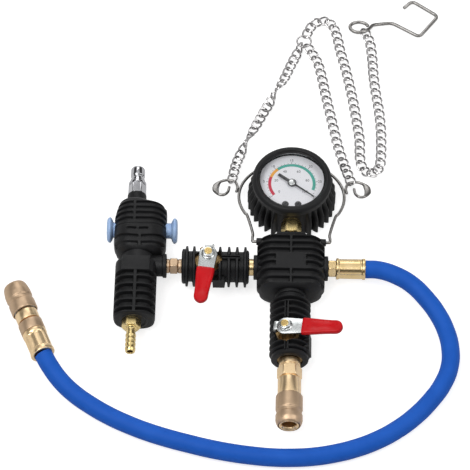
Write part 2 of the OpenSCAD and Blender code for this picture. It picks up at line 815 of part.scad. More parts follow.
module vacuum_nipple() {
    at_axis() pipe_nipple(
        -valve_x + valve_front - lip, -manifold_side + lip,
        -valve_x + valve_front - lip + seat_gap, -manifold_side + lip - seat_gap
    );
}

module fill_nipple() {
    at_axis() rotate([0, 0, 90]) pipe_nipple(
        -valve_y + valve_front - lip, -manifold_near,
        -valve_y + valve_front - lip + seat_gap, -manifold_near - seat_gap
    );
}

// Venturi and slide valve, with the pipe along Y

venturi_x = -(valve_x + valve_back + union_gap + boss_reach);
venturi_top = 4;
venturi_r = venturi_d / 2;
venturi_pipe_r = 11;
boss_pipe_r = 8.4;
slide_from = venturi_top + 0.5;
slide_to = slide_from + slide_l;
slide_mid = slide_w / 2 - 18.5;
spool_y = (slide_from + slide_to) / 2 - 2.25;
spool_r = spool_d / 2;
slide_pipe = [boss_pipe_r + 0.6, slide_to - 4];
neck_r = neck_d / 2;
neck_l = 6;
slide_left = slide_mid - slide_w / 2;
slide_right = slide_mid + slide_w / 2;
knob_left = slide_left - 1.8;
knob_right = slide_right + spool_travel + 1;
plug_neck_r = 7.6;
plug_collar = 2.5;

module at_venturi() { translate([venturi_x, 0, axis_z]) children(); }

module venturi_body() {
    color(satin_brass) at_venturi() difference() {
        union() {
            rod_y(venturi_pipe_r, -venturi_l + lip, slide_pipe[0] - seat_gap);
            rod_y(thread_r, 0, slide_pipe[0] + thread_l - 0.5);
            rod_x(boss_pipe_r, 0, boss_reach - lip);
        }
        rod_y(flow_r, -big, big);
        rod_x(flow_r / 2, 0, big);
        rod_x(port_r, boss_reach - lip - thread_l, big);
        rod_y(port_r, -big, -venturi_l + lip + thread_l);
    }
}

module venturi_nozzle() {
    color(brass) at_venturi() difference() {
        rod_y(flow_r - seat_gap, slide_pipe[0] - 4, slide_pipe[0] + thread_l - 1);
        rod_y(flow_r * 0.4, -big, big);
    }
}

// Grooves round a boot that is turned about Y, on both sides of the spine, above and below
module turned_slots(r, from, count, pitch) {
    spine = asin(spine_w / 2 / r);
    for (row = [0:count - 1], start = [spine, 108, 180 + spine, 288])
        translate([0, from - row * pitch, 0]) rotate([90, 0, 0]) rotate([0, 0, 90 + start])
            rotate_extrude(angle = 72 - spine) translate([r - slot_depth, -slot_w / 2]) square([slot_depth + 1, slot_w]);
}

module venturi_boot() {
    slots_from = -21;
    pitch = slot_pitch - 0.6;
    color(rubber) at_venturi() difference() {
        union() {
            rotate([-90, 0, 0]) rotate_extrude() polygon([
                [0, -venturi_l], [venturi_r - 3, -venturi_l], [venturi_r, -venturi_l + 5],
                [venturi_r, venturi_top - 3], [venturi_r - 2, venturi_top], [0, venturi_top]
            ]);
            rod_x(boss_d / 2, 0, boss_reach);
        }
        rod_y(venturi_pipe_r + boot_gap, -big, big);
        rod_x(boss_pipe_r + boot_gap, 0, big);
        turned_slots(venturi_r, slots_from, floor((venturi_l - 26) / pitch) + 1, pitch);
    }
}

module outlet_barb() {
    color(brass) at_venturi() rotate([0, 0, -90]) translate([venturi_l, 0, 0]) difference() {
        union() {
            rod_x(thread_r, -lip - thread_l + 0.5, 1);
            hex_x(thread_d + 1.6, 0, 11);
            rod_x(barb_d / 2 - 0.8, 10, 35);
            for (i = [0:3]) cone_x(barb_d / 2, barb_d / 2 - 0.8, 18 + 4.5 * i, 21.5 + 4.5 * i);
        }
        rod_x(barb_d / 2 - 2, -big, big);
    }
}

// Plan of the slide valve boot: a body that is wider on the knob side, drawn in to the plug's collar
module slide_plan() {
    body_to = slide_to - 10;
    corner = 9;
    foot = 16;
    translate([slide_left, slide_from + foot]) square([slide_w, body_to - corner - slide_from - foot]);
    translate([slide_left + foot, slide_from]) square([slide_w - 2 * foot, 2 * foot]);
    translate([slide_left + corner, body_to - 2 * corner]) square([slide_w - 2 * corner, 2 * corner]);
    for (x = [slide_left + foot, slide_right - foot]) translate([x, slide_from + foot]) circle(r = foot);
    for (x = [slide_left + corner, slide_right - corner]) translate([x, body_to - corner]) circle(r = corner);
    polygon([
        [slide_left, body_to - corner], [-plug_neck_r - 3.5, slide_to - 2], [-plug_neck_r - 2, slide_to],
        [plug_neck_r + 2, slide_to], [plug_neck_r + 3.5, slide_to - 2], [plug_neck_r + 8, slide_to - 7],
        [slide_right - corner, body_to], [slide_right - corner, body_to - corner]
    ]);
}

// Outer form of that boot, drawn in by inset on every side of its section
module slide_form(inset) {
    profile_r = 15;
    intersection() {
        translate([slide_mid, big, 0]) rotate([90, 0, 0]) linear_extrude(2 * big)
            round_rect(slide_w - 2 * inset, boot_t - 2 * inset, profile_r - inset);
        translate([0, 0, -boot_t / 2 - 1]) linear_extrude(boot_t + 2) slide_plan();
    }
}

module slide_slots() {
    edge = slide_w / 2 - 2;
    first = slide_from + 13;
    rows = floor((slide_to - 11 - first) / slot_pitch);
    difference() {
        for (row = [0:rows], side = [-1, 1])
            translate([slide_mid + side * (edge + spine_w / 2) / 2, first + row * slot_pitch, 0])
                cube([edge - spine_w / 2, slot_w, boot_t + 2], center = true);
        slide_form(slot_depth);
        cube([2 * big, 2 * big, boot_t / 3], center = true);
    }
}

slide_block = [slide_w - 10, 24];
slide_block_y = [boss_d / 2 + 1, slide_pipe[1] - 6];

module slide_metal(grow) {
    length = slide_block_y[1] - slide_block_y[0];
    translate([slide_mid - slide_block[0] / 2 - grow, slide_block_y[0] - grow, -slide_block[1] / 2 - grow])
        cube([slide_block[0] + 2 * grow, length + 2 * grow, slide_block[1] + 2 * grow]);
    rod_y(thread_r + 2.4 + grow, slide_pipe[0], slide_pipe[1] + grow);
}

module slide_valve_body() {
    color(steel) at_venturi() difference() {
        slide_metal(0);
        rod_y(flow_r, -big, big);
        rod_y(port_r, -big, slide_pipe[0] + thread_l);
        rod_y(port_r, slide_pipe[1] - thread_l, big);
        translate([0, spool_y, 0]) rod_x(spool_r + spool_gap, -big, big);
    }
}

module slide_valve_boot() {
    color(rubber) at_venturi() difference() {
        union() {
            slide_form(0);
            rod_y(plug_neck_r + 1, slide_to - 2, slide_to + plug_collar);
        }
        slide_metal(boot_gap);
        rod_y(venturi_pipe_r + boot_gap, -big, slide_pipe[0]);
        rod_x(boss_d / 2 + boot_gap, 0, big);
        rod_y(plug_neck_r - 0.8, slide_to - 6, big);
        translate([0, spool_y, 0]) rod_x(neck_r + 0.4, -big, big);
        slide_slots();
    }
}

seal_r = 0.7;
seal_mean = spool_r - seal_r - 0.1;
seal_places = [-1, 0, 1];
seal_step = 11;

// The spool lies pushed to the right, with its left knob against the boot
module valve_spool() {
    stud = 3;
    color(steel) at_venturi() translate([0, spool_y, 0]) difference() {
        union() {
            rod_x(spool_r, slide_mid - slide_block[0] / 2 - 2, slide_mid + slide_block[0] / 2 + 2);
            rod_x(stud, knob_left - 3, knob_right + 3);
        }
        for (i = seal_places) translate([slide_mid + i * seal_step, 0, 0])
            band_x(seal_mean - seal_r - 0.1, big, -seal_r - 0.15, seal_r + 0.15);
    }
}

module spool_seals() {
    color(rubber) at_venturi() translate([0, spool_y, 0]) for (i = seal_places)
        translate([slide_mid + i * seal_step, 0, 0]) rotate([0, 90, 0])
            rotate_extrude() translate([seal_mean, 0]) circle(r = seal_r);
}

// One knob along +X: a neck that enters the boot and a dished flange, bored for the spool's stud
module push_knob(face, inner) {
    flange_t = 5;
    difference() {
        union() {
            rod_x(neck_r, inner, face + 1);
            cone_x(knob_d / 2 - 1.5, knob_d / 2, face, face + 2);
            cone_x(knob_d / 2, knob_d / 2 - 2.5, face + 2, face + flange_t);
        }
        rod_x(3 + seat_gap, -big, face + 3 + seat_gap);
    }
}

module push_knobs() {
    spool_end = slide_block[0] / 2 + 2.2;
    color(knob_blue) at_venturi() translate([0, spool_y, 0]) {
        push_knob(knob_right, slide_mid + spool_end + spool_travel - 1.7);
        mirror([1, 0, 0]) push_knob(-knob_left, spool_end - slide_mid);
    }
}

module air_plug() {
    nose_from = slide_to + plug_collar + 14;
    color(zinc) at_venturi() rotate([0, 0, 90]) difference() {
        union() {
            rod_x(thread_r, slide_pipe[1] - thread_l + 0.5, slide_to + plug_collar + 1);
            hex_x(plug_af, slide_to + plug_collar + seat_gap, nose_from - 3);
            rod_x(plug_af / 2, nose_from - 4, nose_from);
            rod_x(plug_d / 2, nose_from - 1, nose_from + 13);
        }
        rod_x(flow_r / 2 + 1, -big, 2 * big);
        band_x(plug_d / 2 - 1.2, big, nose_from + 3, nose_from + 6);
    }
}

module union_nipple() {
    from = venturi_x + boss_reach;
    to = -valve_x - valve_back;
    color(satin_brass) at_axis() difference() {
        union() {
            rod_x(thread_r, from - lip - thread_l + 0.5, to + lip + thread_l - 0.5);
            rod_x(union_af / 2, from + seat_gap, to - seat_gap);
            hex_x(union_af, from + 3.5, to - 4);
        }
        rod_x(flow_r, -2 * big, 2 * big);
    }
}

// Quick couplers, in their own frame: the sleeve runs from 0 to sleeve_l along +X

neck_outer_r = neck_outer_d / 2;
sleeve_r = sleeve_d / 2;
socket_r = socket_d / 2;
barrel_r = socket_r + 2.4;
skirt_r = neck_outer_r + 0.3;
land = [12, sleeve_l - 4];
lock_ball_r = 1.15;
lock_ball_at = [19, socket_r + 1.2];
spring_wire = 1.1;
spring_turns = 4;
spring_l = land[0] - sleeve_travel - 0.3;

module lock_balls() {
    for (i = [0:5]) rotate([60 * i, 0, 0]) translate([lock_ball_at[0], 0, lock_ball_at[1]]) children();
}

module coupler_barrel() {
    rod_x(barrel_r, -1, sleeve_l);
    rod_x(barrel_r + 0.4, land[1] + seat_gap, sleeve_l);
}

module coupler_bores() {
    rod_x(flow_r, -2 * big, big);
    rod_x(socket_r, 9, big);
    cone_x(socket_r, socket_r + 1.2, sleeve_l - 1.8, sleeve_l + 0.01);
    lock_balls() cylinder(r = lock_ball_r + 0.05, h = 8, center = true);
}

module coupler_sleeve(waist) {
    color(satin_brass) rotate([0, 90, 0]) rotate_extrude() difference() {
        polygon([
            [0, 0], [sleeve_r - 1.2, 0], [sleeve_r, 1.5], [sleeve_r, waist], [sleeve_r - 0.8, waist + 1],
            [sleeve_r - 0.8, waist + 4], [sleeve_r, waist + 5], [sleeve_r, sleeve_l - 2], [sleeve_r - 2, sleeve_l],
            [0, sleeve_l]
        ]);
        square([2 * skirt_r, 2 * land[0]], center = true);
        square([barrel_r + sleeve_gap, big]);
        translate([0, land[1]]) square([barrel_r + 0.7, big]);
    }
}

module coupler_spring() {
    r = (barrel_r + skirt_r) / 2;
    steps = 14 * spring_turns;
    run = spring_l - spring_wire - 0.2;
    path = [for (i = [0:steps]) let (a = 360 * spring_turns * i / steps)
        [spring_wire / 2 + 0.1 + run * i / steps, r * cos(a), r * sin(a)]];
    color(steel) wire(path, spring_wire, 6, [1, 0, 0]);
}

fill_lead = 35;
coupler_neck_l = 18;

module at_fill_coupler() { translate([0, -valve_y - valve_back - fill_lead, axis_z]) rotate([0, 0, -90]) children(); }

module fill_coupler_body() {
    color(satin_brass) at_fill_coupler() difference() {
        union() {
            rod_x(thread_r, -fill_lead - lip - thread_l + 0.5, -coupler_neck_l);
            rod_x(thread_r + 2.8, -fill_lead + seat_gap, -coupler_neck_l);
            hex_x(coupler_af, -fill_lead + 3, -coupler_neck_l + 1);
            rod_x(neck_outer_r, -coupler_neck_l, 0);
            coupler_barrel();
        }
        coupler_bores();
    }
}

module fill_sleeve() { at_fill_coupler() coupler_sleeve(14); }
module fill_sleeve_spring() { at_fill_coupler() coupler_spring(); }
module fill_locking_balls() { color(steel) at_fill_coupler() lock_balls() sphere(r = lock_ball_r); }

// Hose, from its ferrule at the manifold to the far coupler

ferrule_r = ferrule_d / 2;
hose_r = hose_d / 2;
adapter_l = 7;
hose_from = manifold_side + adapter_l + ferrule_l;
tail_r = 5;

module crimped_ferrule(r, from, to) {
    difference() {
        union() {
            rod_x(r - 0.7, from, to);
            rod_x(r, from, from + 2.5);
            rod_x(r, to - 3, to);
        }
        rod_x(tail_r + seat_gap, -2 * big, 2 * big);
    }
}

module hose_adapter() {
    color(brass) at_axis() difference() {
        union() {
            rod_x(thread_r, manifold_side - lip - thread_l + 0.5, manifold_side + 1);
            hex_x(thread_d + 1.2, manifold_side + seat_gap, manifold_side + adapter_l);
            rod_x(tail_r, manifold_side, hose_from - seat_gap);
        }
        rod_x(flow_r / 2 + 1, 0, 2 * big);
    }
}

module hose_ferrule() { color(brass) at_axis() crimped_ferrule(ferrule_r, manifold_side + adapter_l, hose_from); }

far_turn = 113;
far_dir = [cos(far_turn), sin(far_turn), 0];
far_end = [-214.9, -89, sleeve_r];
hose_z = hose_r;
hose_route = [
    [hose_from, 0, axis_z], [hose_from + 12, -0.5, axis_z], [95, -5.5, 17], [108, -13, 14.5], [119, -24, 12],
    [129, -38, 10], [137, -56, 8.5], [140.5, -74, hose_z], [139.5, -92, hose_z], [133, -110, hose_z],
    [122, -127, hose_z], [108, -143, hose_z], [92, -156.5, hose_z], [75, -167, hose_z], [58, -174.5, hose_z],
    [40, -180, hose_z], [22, -183.5, hose_z], [4, -185, hose_z], [-14, -185, hose_z], [-32, -183.5, hose_z],
    [-50, -181, hose_z], [-68, -177.5, hose_z], [-86, -173, hose_z], [-104, -168, hose_z], [-122, -162, hose_z],
    [-139, -155, hose_z], [-156, -146.5, hose_z], [-172, -136.5, hose_z], [-187, -125, hose_z],
    [-199, -113, hose_z + 1], [-208.5, -100, hose_z + 2.5], far_end
];

module hose() { color(hose_blue) swept(hose_route, hose_r, 12, [0, 0, 1], [1, 0, 0], far_dir); }

far_neck_l = 16;
far_ring = 6;
far_lead = far_ferrule_l + far_ring + far_neck_l;

module at_far_coupler() { translate(far_end) rotate([0, 0, far_turn]) translate([far_lead, 0, 0]) children(); }

module far_ferrule() {
    color(brass) at_far_coupler() crimped_ferrule(neck_outer_r + 0.6, -far_lead, -far_lead + far_ferrule_l);
}

module far_coupler_body() {
    color(satin_brass) at_far_coupler() difference() {
        union() {
            rod_x(tail_r, -far_lead + seat_gap, -far_neck_l);
            rod_x(neck_outer_r + 0.5, -far_neck_l - far_ring, -far_neck_l - 1.5);
            rod_x(neck_outer_r - 1.5, -far_neck_l - far_ring, 0);
            rod_x(neck_outer_r, -far_neck_l, 0);
            coupler_barrel();
        }
        coupler_bores();
    }
}

module far_sleeve() { at_far_coupler() coupler_sleeve(10); }
module far_sleeve_spring() { at_far_coupler() coupler_spring(); }

placed() manifold_block();
placed() manifold_boot();
placed() gauge_stem();
placed() gauge_case();
placed() gauge_boot();
placed() gauge_lens();
placed() gauge_dial();
placed() dial_screws();
placed() movement_frame();
placed() bourdon_tube();
placed() sector_gear();
placed() needle();
placed() bail_wire_hoop();
placed() pigtail_eyes();
placed() chain_left();
placed() chain_right();
placed() chain_hanger();
placed() hanging_hook();
placed() vacuum_nipple();
placed() vacuum_valve_body();
placed() vacuum_valve_retainer();
placed() vacuum_ball_seats();
placed() vacuum_ball();
placed() vacuum_stem();
placed() vacuum_lever();
placed() vacuum_grip();
placed() vacuum_lever_nut();
placed() vacuum_valve_boot();
placed() fill_nipple();
placed() fill_valve_body();
placed() fill_valve_retainer();
placed() fill_ball_seats();
placed() fill_ball();
placed() fill_stem();
placed() fill_lever();
placed() fill_grip();
placed() fill_lever_nut();
placed() fill_valve_boot();
placed() fill_coupler_body();
placed() fill_sleeve();
placed() fill_sleeve_spring();
placed() fill_locking_balls();
placed() union_nipple();
placed() venturi_body();
placed() venturi_nozzle();
placed() venturi_boot();
placed() outlet_barb();
placed() slide_valve_body();
placed() slide_valve_boot();
placed() valve_spool();
placed() spool_seals();
placed() push_knobs();
placed() air_plug();
placed() hose_adapter();
placed() hose_ferrule();
placed() hose();
placed() far_ferrule();
placed() far_coupler_body();
placed() far_sleeve();
placed() far_sleeve_spring();
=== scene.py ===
"""Looks of the coolant vacuum filler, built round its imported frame.

Lengths are in millimetres, set out from the middle of the manifold, until a piece is laid down in metres.
"""

import logging
import math
from collections.abc import Callable, Iterable, Sequence
from dataclasses import dataclass
from enum import Enum

import bmesh
import bpy
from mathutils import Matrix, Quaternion, Vector


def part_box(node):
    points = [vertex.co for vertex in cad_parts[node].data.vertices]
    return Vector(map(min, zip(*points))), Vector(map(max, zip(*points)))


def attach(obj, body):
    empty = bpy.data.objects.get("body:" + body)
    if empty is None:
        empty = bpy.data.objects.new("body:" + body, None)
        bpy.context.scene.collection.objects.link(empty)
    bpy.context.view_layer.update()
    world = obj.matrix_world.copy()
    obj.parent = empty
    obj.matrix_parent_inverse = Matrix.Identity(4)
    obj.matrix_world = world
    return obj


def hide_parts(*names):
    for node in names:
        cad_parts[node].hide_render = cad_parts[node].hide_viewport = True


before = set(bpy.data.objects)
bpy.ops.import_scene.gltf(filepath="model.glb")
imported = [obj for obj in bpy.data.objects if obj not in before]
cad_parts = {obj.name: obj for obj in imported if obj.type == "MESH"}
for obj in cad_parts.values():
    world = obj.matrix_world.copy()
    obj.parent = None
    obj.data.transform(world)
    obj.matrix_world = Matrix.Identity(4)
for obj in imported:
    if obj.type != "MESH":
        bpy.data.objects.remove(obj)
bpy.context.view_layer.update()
LOG = logging.getLogger("vacuum_filler")

Flat = tuple[float, float]
Spot = tuple[float, float, float]
Span = tuple[float, float, float]
Tint = tuple[float, float, float]
Outline = list[Flat]
Ramp = tuple[float, float, float, float]

MM = 0.001
AXIS_Z = 19.0
BOOT_LOW, BOOT_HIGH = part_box("manifold_boot")
MANIFOLD_FAR = 26.0
HOME = Vector(((BOOT_LOW.x + BOOT_HIGH.x) / 2 / MM, BOOT_HIGH.y / MM - MANIFOLD_FAR, 0.0))
Socket = bpy.types.NodeSocket
WHITE = (1.0, 1.0, 1.0, 1.0)

# From the hose's far end to where that coupler's sleeve begins
FERRULE_LENGTH = 46.0
# Most of a side that one eased corner takes
MOST_EASED = 0.45
# Hexagons: depth of the chamfer, radius of the end face and of the corners as shares
HEX_CHAMFER = 0.62
HEX_FACE = 0.965
HEX_CORNER = 0.985
HEX_STEPS = 5
# Reach and size of the two rings that round off a wire, in radii
WIRE_TIP = ((0.25, 0.86), (0.4, 0.5))
# Distances inside a groove's edge that need a ring
GROOVE_EDGE = (-0.9, -0.5, -0.28, -0.05, 0.2, 0.45, 0.9)


# Shapes


class Ends(Enum):
    """How a row of rings is closed."""

    CAPPED = "capped"
    LOOPED = "looped"


@dataclass(frozen=True)
class Seat:
    """A place for a piece: its origin, the direction that it runs in and the way that is up for it."""

    origin: Spot
    along: Spot = (1.0, 0.0, 0.0)
    up: Spot = (0.0, 0.0, 1.0)

    def at(self, s: float, a: float, b: float) -> Vector:
        """Gives a point from its distance along the seat, to its left and above it.

        Args:
            s: Distance along the seat.
            a: Distance to the left.
            b: Distance above.

        Returns:
            The point, in millimetres from the manifold's centre.
        """
        along = Vector(self.along)
        up = Vector(self.up)
        return Vector(self.origin) + along * s + up.cross(along) * a + up * b

    def turned(self, degrees: float) -> "Seat":
        """Gives this seat turned to the left about its own up direction.

        Args:
            degrees: Angle of the turn.

        Returns:
            The turned seat.
        """
        spin = Quaternion(Vector(self.up), math.radians(degrees))
        return Seat(self.origin, tuple(spin @ Vector(self.along)), self.up)


CROSS = Seat((0.0, 0.0, AXIS_Z))
PIPE = Seat((0.0, 0.0, AXIS_Z), (0.0, 1.0, 0.0))


class Shell:
    """The points and faces of one piece."""

    def __init__(self) -> None:
        """Starts with nothing."""
        self.points: list[Vector] = []
        self.faces: list[list[int]] = []

    def loft(self, rings: Sequence[Sequence[Vector]], ends: Ends = Ends.CAPPED) -> None:
        """Joins rings of equal count with quads.

        Args:
            rings: The rings of points, in order.
            ends: How the first and last ring are closed.
        """
        first = len(self.points)
        size = len(rings[0])
        for ring in rings:
            self.points.extend(ring)
        rows = len(rings) if ends is Ends.LOOPED else len(rings) - 1
        for row in range(rows):
            a = first + row * size
            b = first + (row + 1) % len(rings) * size
            for k in range(size):
                n = (k + 1) % size
                self.faces.append([a + k, a + n, b + n, b + k])
        if ends is Ends.CAPPED:
            last = first + (len(rings) - 1) * size
            self.faces.append([first + k for k in reversed(range(size))])
            self.faces.append([last + k for k in range(size)])

    def mesh(self, name: str) -> bpy.types.Mesh:
        """Makes the mesh, in metres in the frame, with its faces turned outwards.

        Args:
            name: Name of the mesh.

        Returns:
            The new mesh.
        """
        made = bpy.data.meshes.new(name)
        made.from_pydata([tuple((p + HOME) * MM) for p in self.points], [], self.faces)
        work = bmesh.new()
        work.from_mesh(made)
        bmesh.ops.recalc_face_normals(work, faces=work.faces)
        work.to_mesh(made)
        work.free()
        return made


def smooth_step(low: float, high: float, value: float) -> float:
    """Rises smoothly from 0 at low to 1 at high."""
    t = min(1.0, max(0.0, (value - low) / (high - low)))
    return t * t * (3 - 2 * t)


def plateau(value: float, start: float, stop: float, soft: float) -> float:
    """Gives 1 between start and stop and 0 outside, with soft shoulders."""
    return smooth_step(start - soft, start + soft, value) * smooth_step(stop + soft, stop - soft, value)


def round_drop(inside: float) -> float:
    """Gives the drop of a rounded edge, from 1 at its end to 0 where it is a whole radius inside."""
    return 1 - math.sqrt(max(0.0, 1 - (1 - min(1.0, inside)) ** 2))


def eased(profile: Sequence[Flat], ease: float, steps: int = 3, loop: bool = False) -> Outline:
    """Rounds the corners of an outline with short curves.

    Args:
        profile: The outline's corners.
        ease: How much of each side a curve may take.
        steps: Segments of each curve.
        loop: Whether the outline closes on itself.

    Returns:
        The outline with its corners rounded.
    """
    made: Outline = []
    count = len(profile)
    for i, corner in enumerate(profile):
        if not loop and i in (0, count - 1):
            made.append(corner)
            continue
        p = Vector(corner)
        back = Vector(profile[i - 1]) - p
        ahead = Vector(profile[(i + 1) % count]) - p
        start = p + back.normalized() * min(ease, back.length * MOST_EASED)
        stop = p + ahead.normalized() * min(ease, ahead.length * MOST_EASED)
        for k in range(steps + 1):
            t = k / steps
            made.append(tuple(start * (1 - t) ** 2 + p * (2 * t * (1 - t)) + stop * t * t))
    return made


def arc(radius: float, start: float, stop: float, steps: int, centre: Flat = (0.0, 0.0)) -> Outline:
    """Gives points on an arc.

    Args:
        radius: Radius of the arc.
        start: First angle in degrees.
        stop: Last angle in degrees.
        steps: Number of segments.
        centre: Centre of the arc.

    Returns:
        The points, first to last.
    """
    angles = [math.radians(start + (stop - start) * i / steps) for i in range(steps + 1)]
    return [(centre[0] + radius * math.cos(a), centre[1] + radius * math.sin(a)) for a in angles]


def even_turns(sides: int) -> list[float]:
    """Gives even angles round a circle, in radians."""
    return [2 * math.pi * k / sides for k in range(sides)]


def lathe(
    shell: Shell,
    seat: Seat,
    profile: Sequence[Flat],
    sides: int | Sequence[float] = 64,
    ends: Ends = Ends.CAPPED,
    shape: Callable[[float, float, float], float] | None = None,
) -> None:
    """Turns a profile of distances and radii about a seat's axis.

    Args:
        shell: The piece that it is added to.
        seat: The axis.
        profile: Pairs of distance along the axis and radius.
        sides: Number of points round the axis, or their angles in radians.
        ends: How the ends are closed.
        shape: Gives a radius from the distance, the profile's radius and the angle, where it isn't round.
    """
    turns = even_turns(sides) if isinstance(sides, int) else sides
    rings = []
    for s, radius in profile:
        sizes = [shape(s, radius, turn) if shape else radius for turn in turns]
        rings.append([seat.at(s, r * math.cos(t), r * math.sin(t)) for r, t in zip(sizes, turns)])
    shell.loft(rings, ends)


def rod(
    shell: Shell, seat: Seat, start: float, stop: float, radii: Flat, sides: int = 40, ease: float = 0.0
) -> None:
    """Adds a short round rod.

    Args:
        shell: The piece that it is added to.
        seat: The axis.
        start: Where it begins on the axis.
        stop: Where it ends.
        radii: Radius of its ends' caps and of the rod.
        sides: Points round the axis.
        ease: Radius of its edges.
    """
    cap, radius = radii
    profile = [(start, cap), (start, radius), (stop, radius), (stop, cap)]
    lathe(shell, seat, eased(profile, ease) if ease else profile, sides)


def hex_bar(shell: Shell, seat: Seat, flats: float, start: float, stop: float) -> None:
    """Adds a six-sided bar with turned chamfers, one flat up.

    Args:
        shell: The piece that it is added to.
        seat: The axis.
        flats: Width across the flats.
        start: Where it begins on the axis.
        stop: Where it ends.
    """
    inner = flats / 2
    corner = inner / math.cos(math.radians(30))
    chamfer = (corner - inner) * HEX_CHAMFER
    low = inner * HEX_FACE
    rise = [(chamfer * i / HEX_STEPS, low + (corner - low) * i / HEX_STEPS) for i in range(HEX_STEPS + 1)]
    profile = [(start + d, r) for d, r in rise] + [(stop - d, r) for d, r in reversed(rise)]

    def six_sided(s: float, limit: float, turn: float) -> float:
        """Gives the bar's radius at an angle, inside its chamfers."""
        off = (turn - math.pi / 2 + math.pi / 6) % (math.pi / 3) - math.pi / 6
        return min(inner / math.cos(off), limit, corner * HEX_CORNER)

    lathe(shell, seat, profile, 96, Ends.CAPPED, six_sided)


def smooth_path(points: Sequence[Spot], steps: int) -> list[Vector]:
    """Draws a smooth curve through given points.

    Args:
        points: The points.
        steps: Segments from one point to the next.

    Returns:
        The points of the curve.
    """
    knots = [Vector(p) for p in points]
    knots = [knots[0] * 2 - knots[1], *knots, knots[-1] * 2 - knots[-2]]
    made = []
    for a, b, c, d in zip(knots, knots[1:], knots[2:], knots[3:]):
        for k in range(steps):
            t = k / steps
            near = b * 2 + (c - a) * t + (a * 2 - b * 5 + c * 4 - d) * t * t
            made.append((near + (b * 3 - a - c * 3 + d) * t ** 3) / 2)
    return [*made, knots[-2]]


def wire(
    shell: Shell,
    path: Sequence[Vector],
    radius: float,
    sides: int = 12,
    ends: Ends = Ends.CAPPED,
    flatten: Callable[[float], Flat] | None = None,
) -> None:
    """Runs a round wire along a path, with rounded ends.

    Args:
        shell: The piece that it is added to.
        path: The path's points.
        radius: Radius of the wire.
        sides: Points round the wire.
        ends: How its ends are closed.
        flatten: Gives the wire's scale across and upwards from its share of the path, where it isn't round.
    """
    count = len(path)
    closed = ends is Ends.LOOPED
    headings = []
    for i in range(count):
        after = path[(i + 1) % count] if closed or i + 1 < count else path[i]
        before = path[i - 1] if closed or i > 0 else path[i]
        headings.append((after - before).normalized())
    up = Vector((0.0, 0.0, 1.0))

    def ring(centre: Vector, heading: Vector, size: float, share: float) -> list[Vector]:
        """Gives one ring of points round the path.

        Args:
            centre: A point of the path.
            heading: The path's direction there.
            size: Radius of the ring.
            share: Share of the path that lies behind it.

        Returns:
            The ring.
        """
        side = heading.cross(up).normalized()
        rise = side.cross(heading)
        wide, tall = flatten(share) if flatten else (1.0, 1.0)
        return [
            centre + side * (size * wide * math.cos(t)) + rise * (size * tall * math.sin(t))
            for t in even_turns(sides)
        ]

    rings = [ring(path[i], headings[i], radius, i / (count - 1)) for i in range(count)]
    if ends is Ends.CAPPED:
        for reach, size in WIRE_TIP:
            rings.insert(0, ring(path[0] - headings[0] * radius * reach, headings[0], radius * size, 0.0))
            rings.append(ring(path[-1] + headings[-1] * radius * reach, headings[-1], radius * size, 1.0))
    shell.loft(rings, ends)


def plate(
    shell: Shell, seat: Seat, outline: Sequence[Flat], low: float, high: float, ease: float = 0.3
) -> None:
    """Adds a flat plate with rounded edges.

    Args:
        shell: The piece that it is added to.
        seat: Where the plate lies; the outline is along the seat and to its left.
        outline: The plate's outline, anticlockwise.
        low: Height of its lower face.
        high: Height of its upper face.
        ease: Radius of its edges.
    """
    count = len(outline)

    def drawn_in(inset: float) -> Outline:
        """Draws the outline in.

        Args:
            inset: How far it is drawn in.

        Returns:
            The smaller outline.
        """
        made = []
        for i in range(count):
            p = Vector(outline[i])
            back = (p - Vector(outline[i - 1])).normalized()
            ahead = (Vector(outline[(i + 1) % count]) - p).normalized()
            lean = back + ahead
            inward = Vector((-lean.y, lean.x)).normalized()
            made.append(tuple(p + inward * inset / max(0.5, inward.dot(Vector((-ahead.y, ahead.x))))))
        return made

    rows = [(low, ease), (low + ease * 0.3, ease * 0.3), (low + ease, 0.0)]
    rows += [(high - ease, 0.0), (high - ease * 0.3, ease * 0.3), (high, ease)]
    shell.loft([[seat.at(s, a, z) for s, a in drawn_in(inset)] for z, inset in rows])


def ribbed(
    shell: Shell,
    seat: Seat,
    stations: Sequence[float],
    section: Callable[[float], Outline],
    depth: Callable[[float, float, float], float],
    bend: Callable[[float, float], float] | None = None,
) -> None:
    """Adds a moulded skin whose section changes along a seat, with grooves cut into it.

    Args:
        shell: The piece that it is added to.
        seat: The skin's axis.
        stations: Distances along the axis at which it has a ring.
        section: Gives the outline at a distance, anticlockwise.
        depth: Gives the groove's depth at a distance and a point of the outline.
        bend: Gives where a point lies along the axis from its distance and its place across, where rings bow.
    """
    rings = []
    for s in stations:
        flat = section(s)
        ring = []
        for i, (a, b) in enumerate(flat):
            back = flat[i - 1]
            ahead = flat[(i + 1) % len(flat)]
            heading = Vector((ahead[0] - back[0], ahead[1] - back[1])).normalized()
            cut = depth(s, a, b)
            ring.append(seat.at(bend(s, a) if bend else s, a - heading.y * cut, b + heading.x * cut))
        rings.append(ring)
    shell.loft(rings)


def groove_share(inside: float) -> float:
    """Gives the share of a groove's depth from the distance inside its edge."""
    return smooth_step(GROOVE_EDGE[1], GROOVE_EDGE[5], inside)


def spaced(wanted: Iterable[float], start: float, stop: float, gap: float) -> list[float]:
    """Puts distances in order and leaves out those too close to the one before.

    Args:
        wanted: The distances.
        start: First distance, which is kept.
        stop: Last distance, which is kept.
        gap: Least step.

    Returns:
        The distances that are kept.
    """
    made = [start]
    for s in sorted(wanted):
        if start < s < stop and s - made[-1] > gap:
            made.append(s)
    return [*made, stop]


